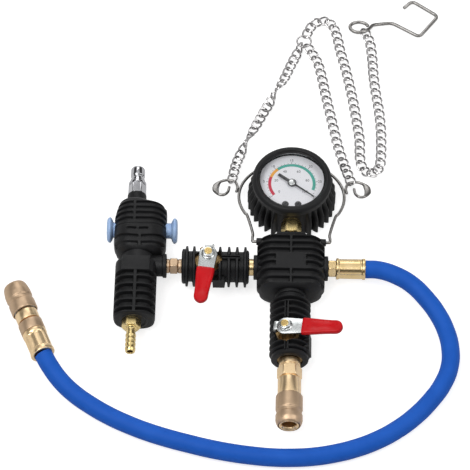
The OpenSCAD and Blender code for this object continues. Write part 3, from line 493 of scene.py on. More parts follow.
def groove_stations(rows: Iterable[Flat], start: float, stop: float, step: float) -> list[float]:
    """Sets out rings for a skin: evenly, and close together at the edges of its grooves.

    Args:
        rows: Middle and width of each groove.
        start: First distance.
        stop: Last distance.
        step: Even step.

    Returns:
        The distances, in order and none too close to the last.
    """
    count = math.ceil((stop - start) / step)
    wanted = [start + (stop - start) * i / count for i in range(count + 1)]
    for middle, width in rows:
        for side in (-1, 1):
            wanted += [middle + side * (width / 2 - edge) for edge in GROOVE_EDGE]
    return spaced(wanted, start, stop, 0.12)


def slab_outline(left: float, right: float, half: float, radius: float, marks: Sequence[float]) -> Outline:
    """Gives a rounded rectangle with points where the grooves on its flats begin and end.

    Args:
        left: Left edge.
        right: Right edge.
        half: Half of its height.
        radius: Radius of its corners.
        marks: Places across the flats, from their middle, that need a point.

    Returns:
        The outline, anticlockwise from the right.
    """
    middle = (left + right) / 2
    flat = (right - left) / 2 - radius
    scale = min(1.0, 0.96 * flat / max(marks))
    upper = sorted({m * scale for m in marks} | {-m * scale for m in marks}, reverse=True)
    wall = half - radius
    made = [(right, wall * i / 2) for i in (-2, -1, 0, 1)]
    made += arc(radius, 0, 90, 18, (middle + flat, wall))
    made += [(middle + m, half) for m in upper]
    made += arc(radius, 90, 180, 18, (middle - flat, wall))
    made += [(left, wall * i / 2) for i in (1, 0, -1)]
    made += arc(radius, 180, 270, 18, (middle - flat, -wall))
    made += [(middle - m, -half) for m in upper]
    made += arc(radius, 270, 345, 15, (middle + flat, -wall))
    return made


# Finishes


BUMP_STRENGTH = 0.6
# How far light spreads in soft plastic, in metres
SOFT_REACH = (0.002, 0.002, 0.002)
# Lighter edges, which are wear on most finishes and on the rubber partly a painted highlight: span of
# pointiness from bare to full, and the most that the edge colour shows
EDGE_WEAR_AND_SHEEN_SPAN = 0.12
MOST_EDGE_WEAR_AND_SHEEN = 0.8


class Grain(Enum):
    """Direction that the fine marks of a finish run in, as the scale of its texture along X, Y and Z."""

    EVEN = (1.0, 1.0, 1.0)
    ROUND_X = (1.0, 0.12, 0.12)
    ROUND_Y = (0.12, 1.0, 0.12)


@dataclass(frozen=True)
class Finish:
    """One surface: its colours, its gloss, its grain and its lighter edges, which are wear and, on the
    rubber, partly a painted highlight.
    """

    name: str
    colour: Tint
    shade: Tint
    rough: Flat
    metallic: float = 0.0
    grain_scale: float = 1800.0
    bump: float = 0.03
    grain: Grain = Grain.EVEN
    cloud_scale: float = 60.0
    edge_wear_and_sheen: Tint | None = None
    edge_wear_and_sheen_from: float = 0.54
    specular: float = 0.5
    alpha: float = 1.0
    subsurface: float = 0.0

    def material(self) -> bpy.types.Material:
        """Makes the material, or gives the one made before.

        Returns:
            The material.
        """
        found = bpy.data.materials.get(self.name)
        if found:
            return found
        made = bpy.data.materials.new(self.name)
        made.use_nodes = True
        nodes = made.node_tree.nodes
        links = made.node_tree.links
        shader = nodes["Principled BSDF"]
        shader.inputs["Metallic"].default_value = self.metallic
        shader.inputs["Specular IOR Level"].default_value = self.specular
        shader.inputs["Alpha"].default_value = self.alpha
        shader.inputs["Subsurface Weight"].default_value = self.subsurface
        shader.inputs["Subsurface Radius"].default_value = SOFT_REACH
        place = nodes.new("ShaderNodeTexCoord").outputs["Object"]
        stretch = nodes.new("ShaderNodeMapping")
        stretch.inputs["Scale"].default_value = self.grain.value
        links.new(place, stretch.inputs["Vector"])

        def noise(vector: Socket, scale: float, detail: float) -> Socket:
            """Adds a noise texture.

            Args:
                vector: Where it is looked up.
                scale: Its scale.
                detail: Its finer layers.

            Returns:
                Its value.
            """
            node = nodes.new("ShaderNodeTexNoise")
            node.inputs["Scale"].default_value = scale
            node.inputs["Detail"].default_value = detail
            links.new(vector, node.inputs["Vector"])
            return node.outputs["Fac"]

        def spread(value: Socket, source: Flat, target: Flat) -> Socket:
            """Maps one range of values to another.

            Args:
                value: The value.
                source: The range that it has.
                target: The range that it gets.

            Returns:
                The new value.
            """
            node = nodes.new("ShaderNodeMapRange")
            for key, number in zip(("From Min", "From Max", "To Min", "To Max"), (*source, *target)):
                node.inputs[key].default_value = number
            links.new(value, node.inputs["Value"])
            return node.outputs["Result"]

        def blended(share: Socket, low: Tint | Socket, high: Tint) -> Socket:
            """Mixes two colours.

            Args:
                share: How much of the second colour shows.
                low: The first colour.
                high: The second colour.

            Returns:
                The mixed colour.
            """
            node = nodes.new("ShaderNodeMix")
            node.data_type = "RGBA"
            links.new(share, node.inputs["Factor"])
            if isinstance(low, tuple):
                node.inputs[6].default_value = (*low, 1.0)
            else:
                links.new(low, node.inputs[6])
            node.inputs[7].default_value = (*high, 1.0)
            return node.outputs[2]

        fine = noise(stretch.outputs["Vector"], self.grain_scale, 4.0)
        cloud = noise(place, self.cloud_scale, 3.0)
        colour = blended(spread(cloud, (0.35, 0.65), (0.0, 1.0)), self.colour, self.shade)
        # Lighter colour on pointed edges: wear, and on the rubber partly a painted highlight
        if self.edge_wear_and_sheen:
            point = nodes.new("ShaderNodeNewGeometry").outputs["Pointiness"]
            edge = spread(point, (self.edge_wear_and_sheen_from, self.edge_wear_and_sheen_from + EDGE_WEAR_AND_SHEEN_SPAN), (0.0, MOST_EDGE_WEAR_AND_SHEEN))
            colour = blended(edge, colour, self.edge_wear_and_sheen)
        links.new(colour, shader.inputs["Base Color"])
        links.new(spread(fine, (0.3, 0.7), self.rough), shader.inputs["Roughness"])
        bump = nodes.new("ShaderNodeBump")
        bump.inputs["Strength"].default_value = BUMP_STRENGTH
        bump.inputs["Distance"].default_value = self.bump * MM
        links.new(fine, bump.inputs["Height"])
        links.new(bump.outputs["Normal"], shader.inputs["Normal"])
        return made


# The rubber's lighter edge colour is partly wear and partly a painted highlight along its edges
RUBBER = Finish(
    "moulded_rubber", (0.0085, 0.0086, 0.0094), (0.0115, 0.0117, 0.0125), (0.40, 0.56),
    grain_scale=2600.0, bump=0.04, edge_wear_and_sheen=(0.028, 0.028, 0.030), specular=0.25,
)
BRASS = Finish(
    "bright_brass", (0.76, 0.53, 0.20), (0.68, 0.45, 0.16), (0.16, 0.30), 1.0, 1500.0, 0.02,
    cloud_scale=120.0, edge_wear_and_sheen=(0.90, 0.74, 0.42),
)
# Brass darkened with painted shade, for the valve bodies and retainers that lie shadowed in the boots;
# rougher than the bright brass
SHADE_DARKENED_BRASS = Finish(
    "shade_darkened_brass", (0.34, 0.23, 0.11), (0.27, 0.18, 0.08), (0.42, 0.60), 1.0, 1500.0, 0.05,
    cloud_scale=120.0, edge_wear_and_sheen=(0.42, 0.30, 0.15),
)
TURNED_BRASS_X = Finish(
    "turned_brass_x", (0.80, 0.61, 0.33), (0.74, 0.55, 0.28), (0.20, 0.27), 1.0, 2600.0, 0.01,
    Grain.ROUND_X, 120.0, edge_wear_and_sheen=(0.92, 0.78, 0.48),
)
TURNED_BRASS_Y = Finish(
    "turned_brass_y", (0.86, 0.68, 0.33), (0.79, 0.61, 0.27), (0.22, 0.32), 1.0, 2600.0, 0.01,
    Grain.ROUND_Y, 120.0, edge_wear_and_sheen=(0.90, 0.74, 0.42),
)
SATIN_BRASS = Finish(
    "blasted_brass", (0.62, 0.45, 0.30), (0.54, 0.39, 0.26), (0.38, 0.52), 1.0, 3200.0, 0.05,
    cloud_scale=90.0, edge_wear_and_sheen=(0.86, 0.68, 0.46),
)
NECK_BRASS = Finish(
    "turned_coupler_brass", (0.95, 0.72, 0.44), (0.88, 0.65, 0.38), (0.26, 0.38), 1.0, 2600.0, 0.03,
    Grain.ROUND_Y, 90.0, edge_wear_and_sheen=(0.86, 0.68, 0.46),
)
ZINC = Finish(
    "bright_zinc_plating", (0.62, 0.64, 0.64), (0.54, 0.56, 0.56), (0.20, 0.36), 1.0, 900.0, 0.02,
    cloud_scale=140.0, edge_wear_and_sheen=(0.92, 0.92, 0.90),
)
CHROME = Finish(
    "polished_chrome", (0.54, 0.54, 0.56), (0.46, 0.46, 0.48), (0.03, 0.07), 1.0, 1200.0, 0.008,
    Grain.ROUND_Y, 90.0,
)
STEEL_WIRE = Finish(
    "drawn_steel_wire", (0.34, 0.33, 0.32), (0.26, 0.25, 0.24), (0.22, 0.38), 1.0, 1400.0, 0.02,
    cloud_scale=200.0, edge_wear_and_sheen=(0.55, 0.54, 0.52),
)
NICKEL = Finish(
    "nickel_chain", (0.52, 0.51, 0.51), (0.40, 0.39, 0.39), (0.08, 0.18), 1.0, 1200.0, 0.02,
    cloud_scale=220.0, edge_wear_and_sheen=(0.62, 0.61, 0.61),
)
VINYL = Finish(
    "dipped_vinyl", (0.66, 0.006, 0.011), (0.58, 0.004, 0.008), (0.26, 0.36), 0.0, 500.0, 0.06,
    cloud_scale=70.0, edge_wear_and_sheen=(0.74, 0.03, 0.04), edge_wear_and_sheen_from=0.56, specular=0.22,
)
HOSE_RUBBER = Finish(
    "smooth_blue_rubber", (0.012, 0.115, 0.57), (0.016, 0.130, 0.62), (0.50, 0.62), 0.0, 1500.0, 0.05,
    cloud_scale=45.0, specular=0.17,
)
KNOB_PLASTIC = Finish(
    "pale_blue_plastic", (0.38, 0.56, 0.88), (0.42, 0.60, 0.91), (0.34, 0.46), 0.0, 700.0, 0.04,
    edge_wear_and_sheen=(0.42, 0.60, 0.90), subsurface=0.15,
)
DIAL_WHITE = Finish(
    "printed_dial", (0.93, 0.93, 0.97), (0.91, 0.92, 0.96), (0.45, 0.58), 0.0, 1500.0, 0.01,
    cloud_scale=40.0,
)
INK_GREEN = Finish("ink_green", (0.09, 0.44, 0.36), (0.10, 0.47, 0.39), (0.45, 0.60), bump=0.01)
INK_ORANGE = Finish("ink_orange", (0.92, 0.42, 0.07), (0.94, 0.45, 0.09), (0.45, 0.60), bump=0.01)
INK_RED = Finish("ink_red", (0.62, 0.04, 0.08), (0.66, 0.05, 0.09), (0.45, 0.60), bump=0.01)
INK_GREY = Finish("ink_grey", (0.07, 0.075, 0.085), (0.10, 0.105, 0.115), (0.45, 0.60), bump=0.01)
POINTER = Finish("pointer_paint", (0.045, 0.046, 0.05), (0.06, 0.061, 0.065), (0.34, 0.46), bump=0.01)
LENS = Finish(
    "polished_lens", (0.03, 0.03, 0.032), (0.02, 0.02, 0.022), (0.02, 0.06), bump=0.002, alpha=0.02,
)
SEAT_WHITE = Finish("white_seat", (0.82, 0.82, 0.80), (0.78, 0.78, 0.76), (0.40, 0.55), bump=0.02)


@dataclass(frozen=True)
class Piece:
    """How a piece is laid down: its name, finish, slot, the nodes that it stands for and its body."""

    name: str
    finish: Finish
    slot: str
    nodes: tuple[str, ...] = ()
    body: str = "frame"
    sharp: float = 38.0

    def lay(self, shell: Shell) -> bpy.types.Object:
        """Turns a shell into a dressed object that rides on its body.

        Args:
            shell: The points and faces.

        Returns:
            The object.
        """
        return self.dress(bpy.data.objects.new(self.name, shell.mesh(self.name)))

    def dress(self, made: bpy.types.Object) -> bpy.types.Object:
        """Gives an object its finish, shading and body, and hides the imported nodes that it stands for.

        Args:
            made: A new object, in place.

        Returns:
            The same object.
        """
        bpy.context.scene.collection.objects.link(made)
        made.data.materials.clear()
        made.data.materials.append(self.finish.material())
        if made.type == "MESH":
            made.data.shade_smooth()
            made.data.set_sharp_from_angle(angle=math.radians(self.sharp))
        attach(made, self.body)
        if self.nodes:
            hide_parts(*self.nodes)
        LOG.info("laid %s on %s", self.name, self.body)
        return made


# Camera, bench and light


@dataclass
class Studio:
    """The camera, the pale bench and the soft lights."""

    aim: Spot = (-49.9, 24.2, 34.0)
    azimuth: float = 1.15
    elevation: float = 57.0
    distance: float = 2658.0
    lens: float = 229.8
    sensor: float = 36.0
    clip: float = 20000.0
    bench_size: float = 3000.0
    bench_drop: float = 0.2
    bench_grey: float = 0.62
    bench_glow: float = 0.74
    bench_gloss: float = 0.35
    sky_light: float = 0.44
    sky_seen: float = 0.9
    sky_belt: tuple[Flat, ...] = ((0.22, 0.95), (0.36, 0.12), (0.72, 0.08), (0.86, 0.95))
    lamps: tuple[tuple[str, Spot, float, float], ...] = (
        ("key_light", (-700.0, -500.0, 1500.0), 1100.0, 14.0),
        ("fill_light", (1100.0, -300.0, 1200.0), 900.0, 6.5),
        ("back_light", (-200.0, 1300.0, 1100.0), 900.0, 6.0),
    )

    def build(self) -> None:
        """Makes the camera, the bench, the world and the lamps."""
        self.camera()
        self.bench()
        self.world()
        for name, place, size, watts in self.lamps:
            self.lamp(name, place, size, watts)

    def camera(self) -> None:
        """Sets the camera where the photograph was taken from."""
        az = math.radians(self.azimuth)
        el = math.radians(self.elevation)
        look = Vector((-math.sin(az) * math.cos(el), math.cos(az) * math.cos(el), -math.sin(el)))
        data = bpy.data.cameras.new("camera")
        data.sensor_width = self.sensor
        data.lens = self.lens
        data.clip_end = self.clip * MM
        made = bpy.data.objects.new("camera", data)
        made.location = (Vector(self.aim) + HOME - look * self.distance) * MM
        made.rotation_mode = "QUATERNION"
        made.rotation_quaternion = look.to_track_quat("-Z", "Y")
        bpy.context.scene.collection.objects.link(made)
        bpy.context.scene.camera = made
        bpy.context.scene.view_settings.view_transform = "Standard"

    def seen(self, nodes: bpy.types.Nodes, links: bpy.types.NodeLinks, gloss: float) -> Socket:
        """Gives 1 to rays from the camera and through glass, a share to rays from gloss, and 0 to the rest.

        Args:
            nodes: Nodes of the tree.
            links: Links of the tree.
            gloss: Share of the background that metal shows.

        Returns:
            The socket.
        """
        path = nodes.new("ShaderNodeLightPath")
        total = path.outputs["Is Camera Ray"]
        for name, share in (("Is Glossy Ray", gloss), ("Is Transmission Ray", 1.0)):
            add = nodes.new("ShaderNodeMath")
            add.operation = "MULTIPLY_ADD"
            add.use_clamp = True
            links.new(path.outputs[name], add.inputs[0])
            add.inputs[1].default_value = share
            links.new(total, add.inputs[2])
            total = add.outputs[0]
        return total

    def bench(self) -> None:
        """Makes the pale floor, which keeps the object's shadow."""
        half = self.bench_size * MM
        corners = [(-half, -half, 0), (half, -half, 0), (half, half, 0), (-half, half, 0)]
        data = bpy.data.meshes.new("bench")
        data.from_pydata(corners, [], [(0, 1, 2, 3)])
        made = bpy.data.objects.new("bench", data)
        made.location.z = -self.bench_drop * MM
        bpy.context.scene.collection.objects.link(made)
        paint = bpy.data.materials.new("pale_bench")
        paint.use_nodes = True
        nodes = paint.node_tree.nodes
        links = paint.node_tree.links
        shader = nodes["Principled BSDF"]
        shader.inputs["Base Color"].default_value = (self.bench_grey, self.bench_grey, self.bench_grey, 1.0)
        shader.inputs["Roughness"].default_value = 0.9
        shader.inputs["Specular IOR Level"].default_value = 0.0
        shader.inputs["Emission Color"].default_value = WHITE
        scale = nodes.new("ShaderNodeMath")
        scale.operation = "MULTIPLY"
        scale.inputs[1].default_value = self.bench_glow
        links.new(self.seen(nodes, links, self.bench_gloss), scale.inputs[0])
        links.new(scale.outputs[0], shader.inputs["Emission Strength"])
        data.materials.append(paint)

    def world(self) -> None:
        """Makes the sky: pale at the horizon and overhead, with a darker belt that shows in the metal."""
        sky = bpy.data.worlds.new("studio")
        bpy.context.scene.world = sky
        sky.use_nodes = True
        nodes = sky.node_tree.nodes
        links = sky.node_tree.links
        place = nodes.new("ShaderNodeTexCoord").outputs["Generated"]
        split = nodes.new("ShaderNodeSeparateXYZ")
        links.new(place, split.inputs["Vector"])
        ramp = nodes.new("ShaderNodeValToRGB")
        for height, level in self.sky_belt:
            ramp.color_ramp.elements.new(height).color = (level, level, level, 1.0)
        ramp.color_ramp.elements[0].color = WHITE
        ramp.color_ramp.elements[-1].color = WHITE
        links.new(split.outputs["Z"], ramp.inputs["Fac"])
        strength = nodes.new("ShaderNodeMapRange")
        strength.inputs["To Min"].default_value = self.sky_light
        strength.inputs["To Max"].default_value = self.sky_seen
        links.new(self.seen(nodes, links, 1.0), strength.inputs["Value"])
        links.new(ramp.outputs["Color"], nodes["Background"].inputs["Color"])
        links.new(strength.outputs["Result"], nodes["Background"].inputs["Strength"])

    def lamp(self, name: str, place: Spot, size: float, watts: float) -> None:
        """Hangs a square soft light that points at the object.

        Args:
            name: Name of the light.
            place: Where it hangs.
            size: Its side.
            watts: Its power.
        """
        data = bpy.data.lights.new(name, "AREA")
        data.size = size * MM
        data.energy = watts
        made = bpy.data.objects.new(name, data)
        made.location = Vector(place) * MM
        made.rotation_mode = "QUATERNION"
        made.rotation_quaternion = (-Vector(place)).to_track_quat("-Z", "Y")
        bpy.context.scene.collection.objects.link(made)


# Hose


@dataclass
class Hose:
    """The free hose, from its ferrule at the manifold to the far coupler."""

    diameter: float = 16.0
    route: tuple[Spot, ...] = (
        (66, 0, 19), (78, -0.5, 19), (95, -5.5, 17), (108, -13, 14.5), (119, -24, 12), (129, -38, 10),
        (137, -56, 8.5), (140.5, -74, 8), (139.5, -92, 8), (133, -110, 8), (122, -127, 8), (108, -143, 8),
        (92, -156.5, 8), (75, -167, 8), (58, -174.5, 8), (40, -180, 8), (22, -183.5, 8), (4, -185, 8),
        (-14, -185, 8), (-32, -183.5, 8), (-50, -181, 8), (-68, -177.5, 8), (-86, -173, 8), (-104, -168, 8),
        (-122, -162, 8), (-139, -155, 8), (-156, -146.5, 8), (-172, -136.5, 8), (-187, -125, 8),
        (-199, -113, 9), (-208.5, -100, 10.5), (-214.9, -89, 11.75),
    )
    far_turn: float = 113.0

    def far_seat(self) -> Seat:
        """Gives the place where the far coupler begins."""
        turn = math.radians(self.far_turn)
        return Seat(self.route[-1], (math.cos(turn), math.sin(turn), 0.0))

    def build(self) -> bpy.types.Object:
        """Makes the hose as one smooth curve.

        Returns:
            The hose.
        """
        data = bpy.data.curves.new("blue_hose", "CURVE")
        data.dimensions = "3D"
        data.bevel_depth = self.diameter / 2 * MM
        data.bevel_resolution = 10
        data.resolution_u = 10
        line = data.splines.new("BEZIER")
        line.bezier_points.add(len(self.route) - 1)
        for knot, place in zip(line.bezier_points, self.route):
            knot.co = (Vector(place) + HOME) * MM
            knot.handle_left_type = "AUTO"
            knot.handle_right_type = "AUTO"
        made = bpy.data.objects.new("blue_hose", data)
        return Piece("blue_hose", HOSE_RUBBER, "blue_hose_rubber", ("hose",)).dress(made)


# Manifold


@dataclass
class Manifold:
    """The rubber boot of the manifold, with its grooves, spine, bare pad and side collars."""

    half_width: float = 30.0
    near: float = -29.4
    far: float = MANIFOLD_FAR
    half_height: float = 19.0
    corner: float = 14.0
    near_round: float = 11.0
    far_round: float = 7.0
    near_drop: float = 7.0
    far_drop: float = 3.5
    groove_depth: float = 3.0
    rows: tuple[Flat, ...] = (
        (20.6, 4.0), (13.8, 4.2), (7.2, 4.2), (0.6, 4.2), (-6.2, 4.2), (-14.6, 4.8), (-22.6, 4.6),
    )
    spine: float = 1.2
    # Half width, near edge and far edge
    pad: Span = (13.5, -8.6, 4.9)
    plain_side: float = 4.7
    collar: Flat = (33.0, 11.0)
    # Left to right, near to far and low to high
    block: tuple[Flat, Flat, Flat] = ((-12.9, 12.9), (18.0, 31.8), (7.5, 30.5))
    bail_hole: Spot = (30.0, 21.5, 28.0)

    def end_drop(self, s: float, length: float) -> float:
        """Gives how far a rounded end has dropped.

        Args:
            s: Distance along the pipe.
            length: Length of the rounding.

        Returns:
            The drop, from 0 to 1.
        """
        edge = length if s < 0 else min(length, self.far_round)
        inside = s - self.near if s < 0 else self.far - s
        return round_drop(inside / edge)

    def section(self, s: float) -> Outline:
        """Gives the boot's outline.

        Args:
            s: Distance along the pipe.

        Returns:
            The outline, anticlockwise.
        """
        plan = self.near_round if s < 0 else self.far_round
        wide = self.half_width - plan * self.end_drop(s, self.near_round)
        tall = self.half_height - (self.near_drop if s < 0 else self.far_drop) * self.end_drop(s, 8.0)
        edges = (self.spine + d for d in (-0.5, -0.25, 0.0, 0.25, 0.6))
        pad_edges = (self.pad[0] + d for d in (-0.6, -0.25, 0.05, 0.35, 0.8))
        marks = (0.0, *edges, 5.0, 8.0, 11.0, *pad_edges)
        return slab_outline(-wide, wide, tall, min(self.corner, tall - 0.8), marks)

    def depth(self, s: float, a: float, b: float) -> float:
        """Gives the depth of the grooves.

        Args:
            s: Distance along the pipe.
            a: Place across the boot.
            b: Height above the pipe's axis.

        Returns:
            The depth.
        """
        share = max(groove_share(width / 2 - abs(s - middle)) for middle, width in self.rows)
        half, low, high = self.pad
        plain = half if b > 0 and low < s < high else self.spine
        across = smooth_step(plain - 0.35, plain + 0.45, abs(a))
        beside = smooth_step(self.plain_side - 0.6, self.plain_side + 0.6, abs(b))
        return self.groove_depth * share * across * beside

    def build(self) -> None:
        """Makes the boot with its side collars, its foot ring and the lips round the bail's pins."""
        shell = Shell()
        stations = groove_stations(self.rows, self.near, self.far, 2.2)
        stations += [self.near + d for d in (0.15, 0.5, 1.1)] + [self.far - d for d in (0.12, 0.4, 0.9)]
        ribbed(shell, PIPE, sorted(stations), self.section, self.depth)
        reach, radius = self.collar
        rim = [(-reach, 8.0), (-reach, radius), (-reach + 3.4, radius), (-reach + 4.2, radius - 0.9)]
        lathe(shell, CROSS, eased(rim + [(-s, r) for s, r in reversed(rim)], 0.8))
        (left, right), (near, far), (low, high) = self.block
        block = [(left, near), (right, near), (right, far), (left, far)]
        plate(shell, Seat((0.0, 0.0, 0.0)), eased(block, 1.6, 4, True), low, high, 1.2)
        end = self.near
        foot = [(end + 6, 7.0), (end + 6, 14.0), (end - 2.0, 13.4), (end - 2.6, 12.6), (end - 2.6, 7.0)]
        lathe(shell, PIPE, eased(foot, 0.5))
        x, y, z = self.bail_hole
        lip = eased([(x - 4, 1.5), (x - 4, 3.4), (x + 0.9, 3.2), (x + 0.9, 1.5)], 0.6)
        for side in (-1, 1):
            lathe(shell, Seat((0.0, y, z), (side, 0.0, 0.0)), lip, 24)
        Piece("ribbed_manifold_boot", RUBBER, "black_rubber", ("manifold_boot",)).lay(shell)


# Gauge


@dataclass
class Gauge:
    """The gauge: its finned boot, its printed dial and its pointer."""

    centre: Flat = (0.0, 81.5)
    root: float = 33.7
    ring: float = 35.5
    window: float = 28.5
    rim_z: float = 41.0
    fins: int = 34
    fin_height: float = 6.0
    fin_top: float = 8.2
    fin_gap: float = 22.0
    fin_half: float = 0.4
    fin_curve: float = 1.9
    fin_fade: Flat = (17.0, 32.4)
    fin_faded: float = 0.75
    notch: float = 18.6
    case: float = 33.2
    dial_top: float = 31.8
    pointer_z: float = 33.2
    needle_rest: float = -36.0
    bands: tuple[tuple[float, float, Finish], ...] = (
        (-19.0, 130.0, INK_GREEN), (130.0, 160.0, INK_ORANGE), (160.0, 218.0, INK_RED),
    )
    band: Flat = (18.6, 21.3)
    sweep: Flat = (218.0, -36.0)
    ticks: int = 30
    tick_half: float = 0.22
    tick_from: float = 21.6
    tick_short: float = 22.4
    tick_long: float = 23.2
    print_rise: Flat = (0.02, 0.1)
    # Count, step and distance from the centre of each row of numbers
    numbers: tuple[tuple[int, int, float], ...] = ((7, 5, 25.2), (6, 20, 14.4))
    type_height: float = 3.6
    type_rise: float = 0.03
    screw: Flat = (5.7, 22.2)
    slot_turn: float = 35.0

    def upright(self) -> Seat:
        """Gives the gauge's own axis, which stands on the bench."""
        return Seat((*self.centre, 0.0), (0.0, 0.0, 1.0), (0.0, 1.0, 0.0))

    def flat(self, turn: float = 0.0) -> Seat:
        """Gives the plane of the dial, turned about its centre."""
        return Seat((*self.centre, 0.0)).turned(turn)

    def barrel_radius(self, z: float, plain: float, angle: float) -> float:
        """Gives the barrel's radius.

        Args:
            z: Height above the bench.
            plain: Radius where the barrel is plain, or 0 where it has fins.
            angle: Angle in radians about the gauge's axis, from X.

        Returns:
            The radius.
        """
        if plain:
            return plain
        turn = math.degrees(angle) + 90.0
        places = turn * self.fins / 360.0 - 0.5
        fin = max(0.0, 1 - (abs(places - round(places)) / self.fin_half) ** self.fin_curve)
        rise = smooth_step(-0.4, 1.0, z) * (1 - self.fin_faded * smooth_step(*self.fin_fade, z))
        aside = abs((turn + 180.0) % 360.0 - 180.0)
        fins = self.fin_height * rise * fin * smooth_step(self.fin_gap - 1.5, self.fin_gap, aside)
        wall = self.case + (self.root - self.case) * smooth_step(self.notch - 0.7, self.notch + 0.7, aside)
        return wall + fins

    def build(self) -> None:
        """Makes the boot, the dial's print and the pointer."""
        self.boot()
        self.stem()
        self.print_dial()
        self.pointer()

    def boot(self) -> None:
        """Makes the finned boot with its front ring."""
        shell = Shell()
        axis = self.upright()
        top = self.rim_z
        ring = [
            (top - 9.4, self.case - 0.4), (top - 9.4, self.root + 0.4), (top - 7.8, self.ring),
            (top - 2.6, self.ring), (top - 0.5, self.ring - 1.9), (top, self.ring - 3.4),
            (top - 0.3, self.window + 1.9), (top - 1.3, self.window + 1.5), (top - 2.2, self.window + 0.1),
            (top - 2.55, self.window), (top - 2.6, self.case),
        ]
        lathe(shell, axis, eased(ring, 0.7, 4, True), 128, Ends.LOOPED)
        places = (-0.5, -0.45, -0.41, -0.37, -0.3, -0.2, -0.1, 0.0, 0.1, 0.2, 0.3, 0.37, 0.41, 0.45)
        turns = [(i + 0.5 + p) * 360.0 / self.fins for i in range(self.fins) for p in places]
        heights = [0.05, 0.3, 0.6, 1.0, 2.0, 5.0, 9.0, 13.0] + [17.0 + 2.0 * i for i in range(8)]
        barrel = [(z, 0.0) for z in (*heights, top - self.fin_top)]
        barrel += [(top - self.fin_top, self.case - 0.2), (top - 12.0, self.case - 0.2)]
        angles = [math.radians(turn - 90.0) for turn in turns]
        lathe(shell, axis, barrel, angles, Ends.CAPPED, self.barrel_radius)
        Piece("finned_gauge_boot", RUBBER, "black_rubber", ("gauge_boot",), sharp=50.0).lay(shell)

    def stem(self) -> None:
        """Makes the brass stem that the gauge is screwed in by."""
        shell = Shell()
        hex_bar(shell, PIPE, 16.0, 34.5, 47.9)
        for start, stop, radius in ((17.0, 35.2, 6.5), (47.0, 53.5, 7.8)):
            rod(shell, PIPE, start, stop, (4.0, radius), 48, 0.4)
        Piece("gauge_stem_hex", TURNED_BRASS_Y, "yellow_brass", ("gauge_stem",)).lay(shell)

    def print_dial(self) -> None:
        """Prints the bands, the ticks and plain numbers on the dial."""
        low, high = (self.dial_top + rise for rise in self.print_rise)
        inner, outer = self.band
        for start, stop, ink in self.bands:
            shell = Shell()
            steps = math.ceil((stop - start) / 4)
            edge = arc(outer, start, stop, steps) + arc(inner, stop, start, steps)
            plate(shell, self.flat(), edge, low, high, 0.02)
            Piece(f"dial_band_{ink.name}", ink, "dial_white").lay(shell)
        marks = Shell()
        start, stop = self.sweep
        near, half = self.tick_from, self.tick_half
        for i in range(self.ticks + 1):
            reach = self.tick_long if i % 5 == 0 else self.tick_short
            turn = start + (stop - start) * i / self.ticks
            tick = [(near, -half), (reach, -half), (reach, half), (near, half)]
            plate(marks, self.flat(turn), tick, low, high, 0.02)
        for count, step, reach in self.numbers:
            for i in range(count):
                turn = math.radians(start + (stop - start) * i / (count - 1))
                self.figure(marks, str(step * i), (reach * math.cos(turn), reach * math.sin(turn)), low)
        Piece("dial_numbers", INK_GREY, "dial_white").lay(marks)
        self.screws(low)

    def screws(self, low: float) -> None:
        """Makes the two slotted screws that hold the dial.

        Args:
            low: Height of their underside.
        """
        shell = Shell()
        for side in (-1, 1):
            place = (self.centre[0] + side * self.screw[0], self.centre[1] - self.screw[1], 0.0)
            rod(shell, Seat(place, (0.0, 0.0, 1.0), (0.0, 1.0, 0.0)), low, low + 0.4, (0.5, 3.0), 40)
            for start in (9, 189):
                half = arc(2.9, start, start + 162, 18)
                plate(shell, Seat(place).turned(self.slot_turn), half, low + 0.3, low + 1.0, 0.15)
        Piece("slotted_dial_screws", POINTER, "pointer_black", ("dial_screws",)).lay(shell)

    def figure(self, shell: Shell, words: str, place: Flat, z: float) -> None:
        """Adds a plain number to a shell.

        Args:
            shell: The piece that it is added to.
            words: The number.
            place: Its middle, from the dial's centre.
            z: Height of its underside.
        """
        data = bpy.data.curves.new("figure", "FONT")
        data.body = words
        data.size = self.type_height
        data.align_x = "CENTER"
        data.align_y = "CENTER"
        data.extrude = self.type_rise
        data.resolution_u = 3
        made = bpy.data.objects.new("figure", data)
        bpy.context.scene.collection.objects.link(made)
        ready = made.evaluated_get(bpy.context.evaluated_depsgraph_get())
        letters = ready.to_mesh()
        first = len(shell.points)
        middle = Vector((self.centre[0] + place[0], self.centre[1] + place[1], z + self.type_rise))
        shell.points.extend(v.co + middle for v in letters.vertices)
        shell.faces.extend([first + k for k in face.vertices] for face in letters.polygons)
        ready.to_mesh_clear()
        bpy.data.objects.remove(made)
        bpy.data.curves.remove(data)

    def pointer(self) -> None:
        """Makes the pointer with its tail, and the hub that holds it."""
        shell = Shell()
        z = self.pointer_z
        axis = self.upright()
        edge = [(-15.0, 1.4), (-3.0, 1.4), (0.0, 0.9), (self.window - 4.0, 0.42)]
        blade = [(s, -a) for s, a in edge] + list(reversed(edge))
        plate(shell, self.flat(self.needle_rest), blade, z, z + 0.7, 0.12)
        rod(shell, axis, z, z + 0.8, (1.0, 3.9), 40)
        rod(shell, axis, 20.0, z, (0.6, 1.2), 20)
        rod(shell, axis, 24.2, 27.2, (0.8, 2.0), 24)
        Piece("dial_pointer", POINTER, "pointer_black", ("needle",), "gauge_pointer").lay(shell)
        hub = Shell()
        dome = [(-0.2, 0.8), (-0.2, 3.2), (0.9, 3.2), (1.3, 2.8), (1.5, 1.5), (1.55, 0.3)]
        lathe(hub, axis, eased([(z + rise, radius) for rise, radius in dome], 0.25), 40)
        Piece("pointer_hub", ZINC, "turned_aluminium", (), "gauge_pointer").lay(hub)


# Ball valves


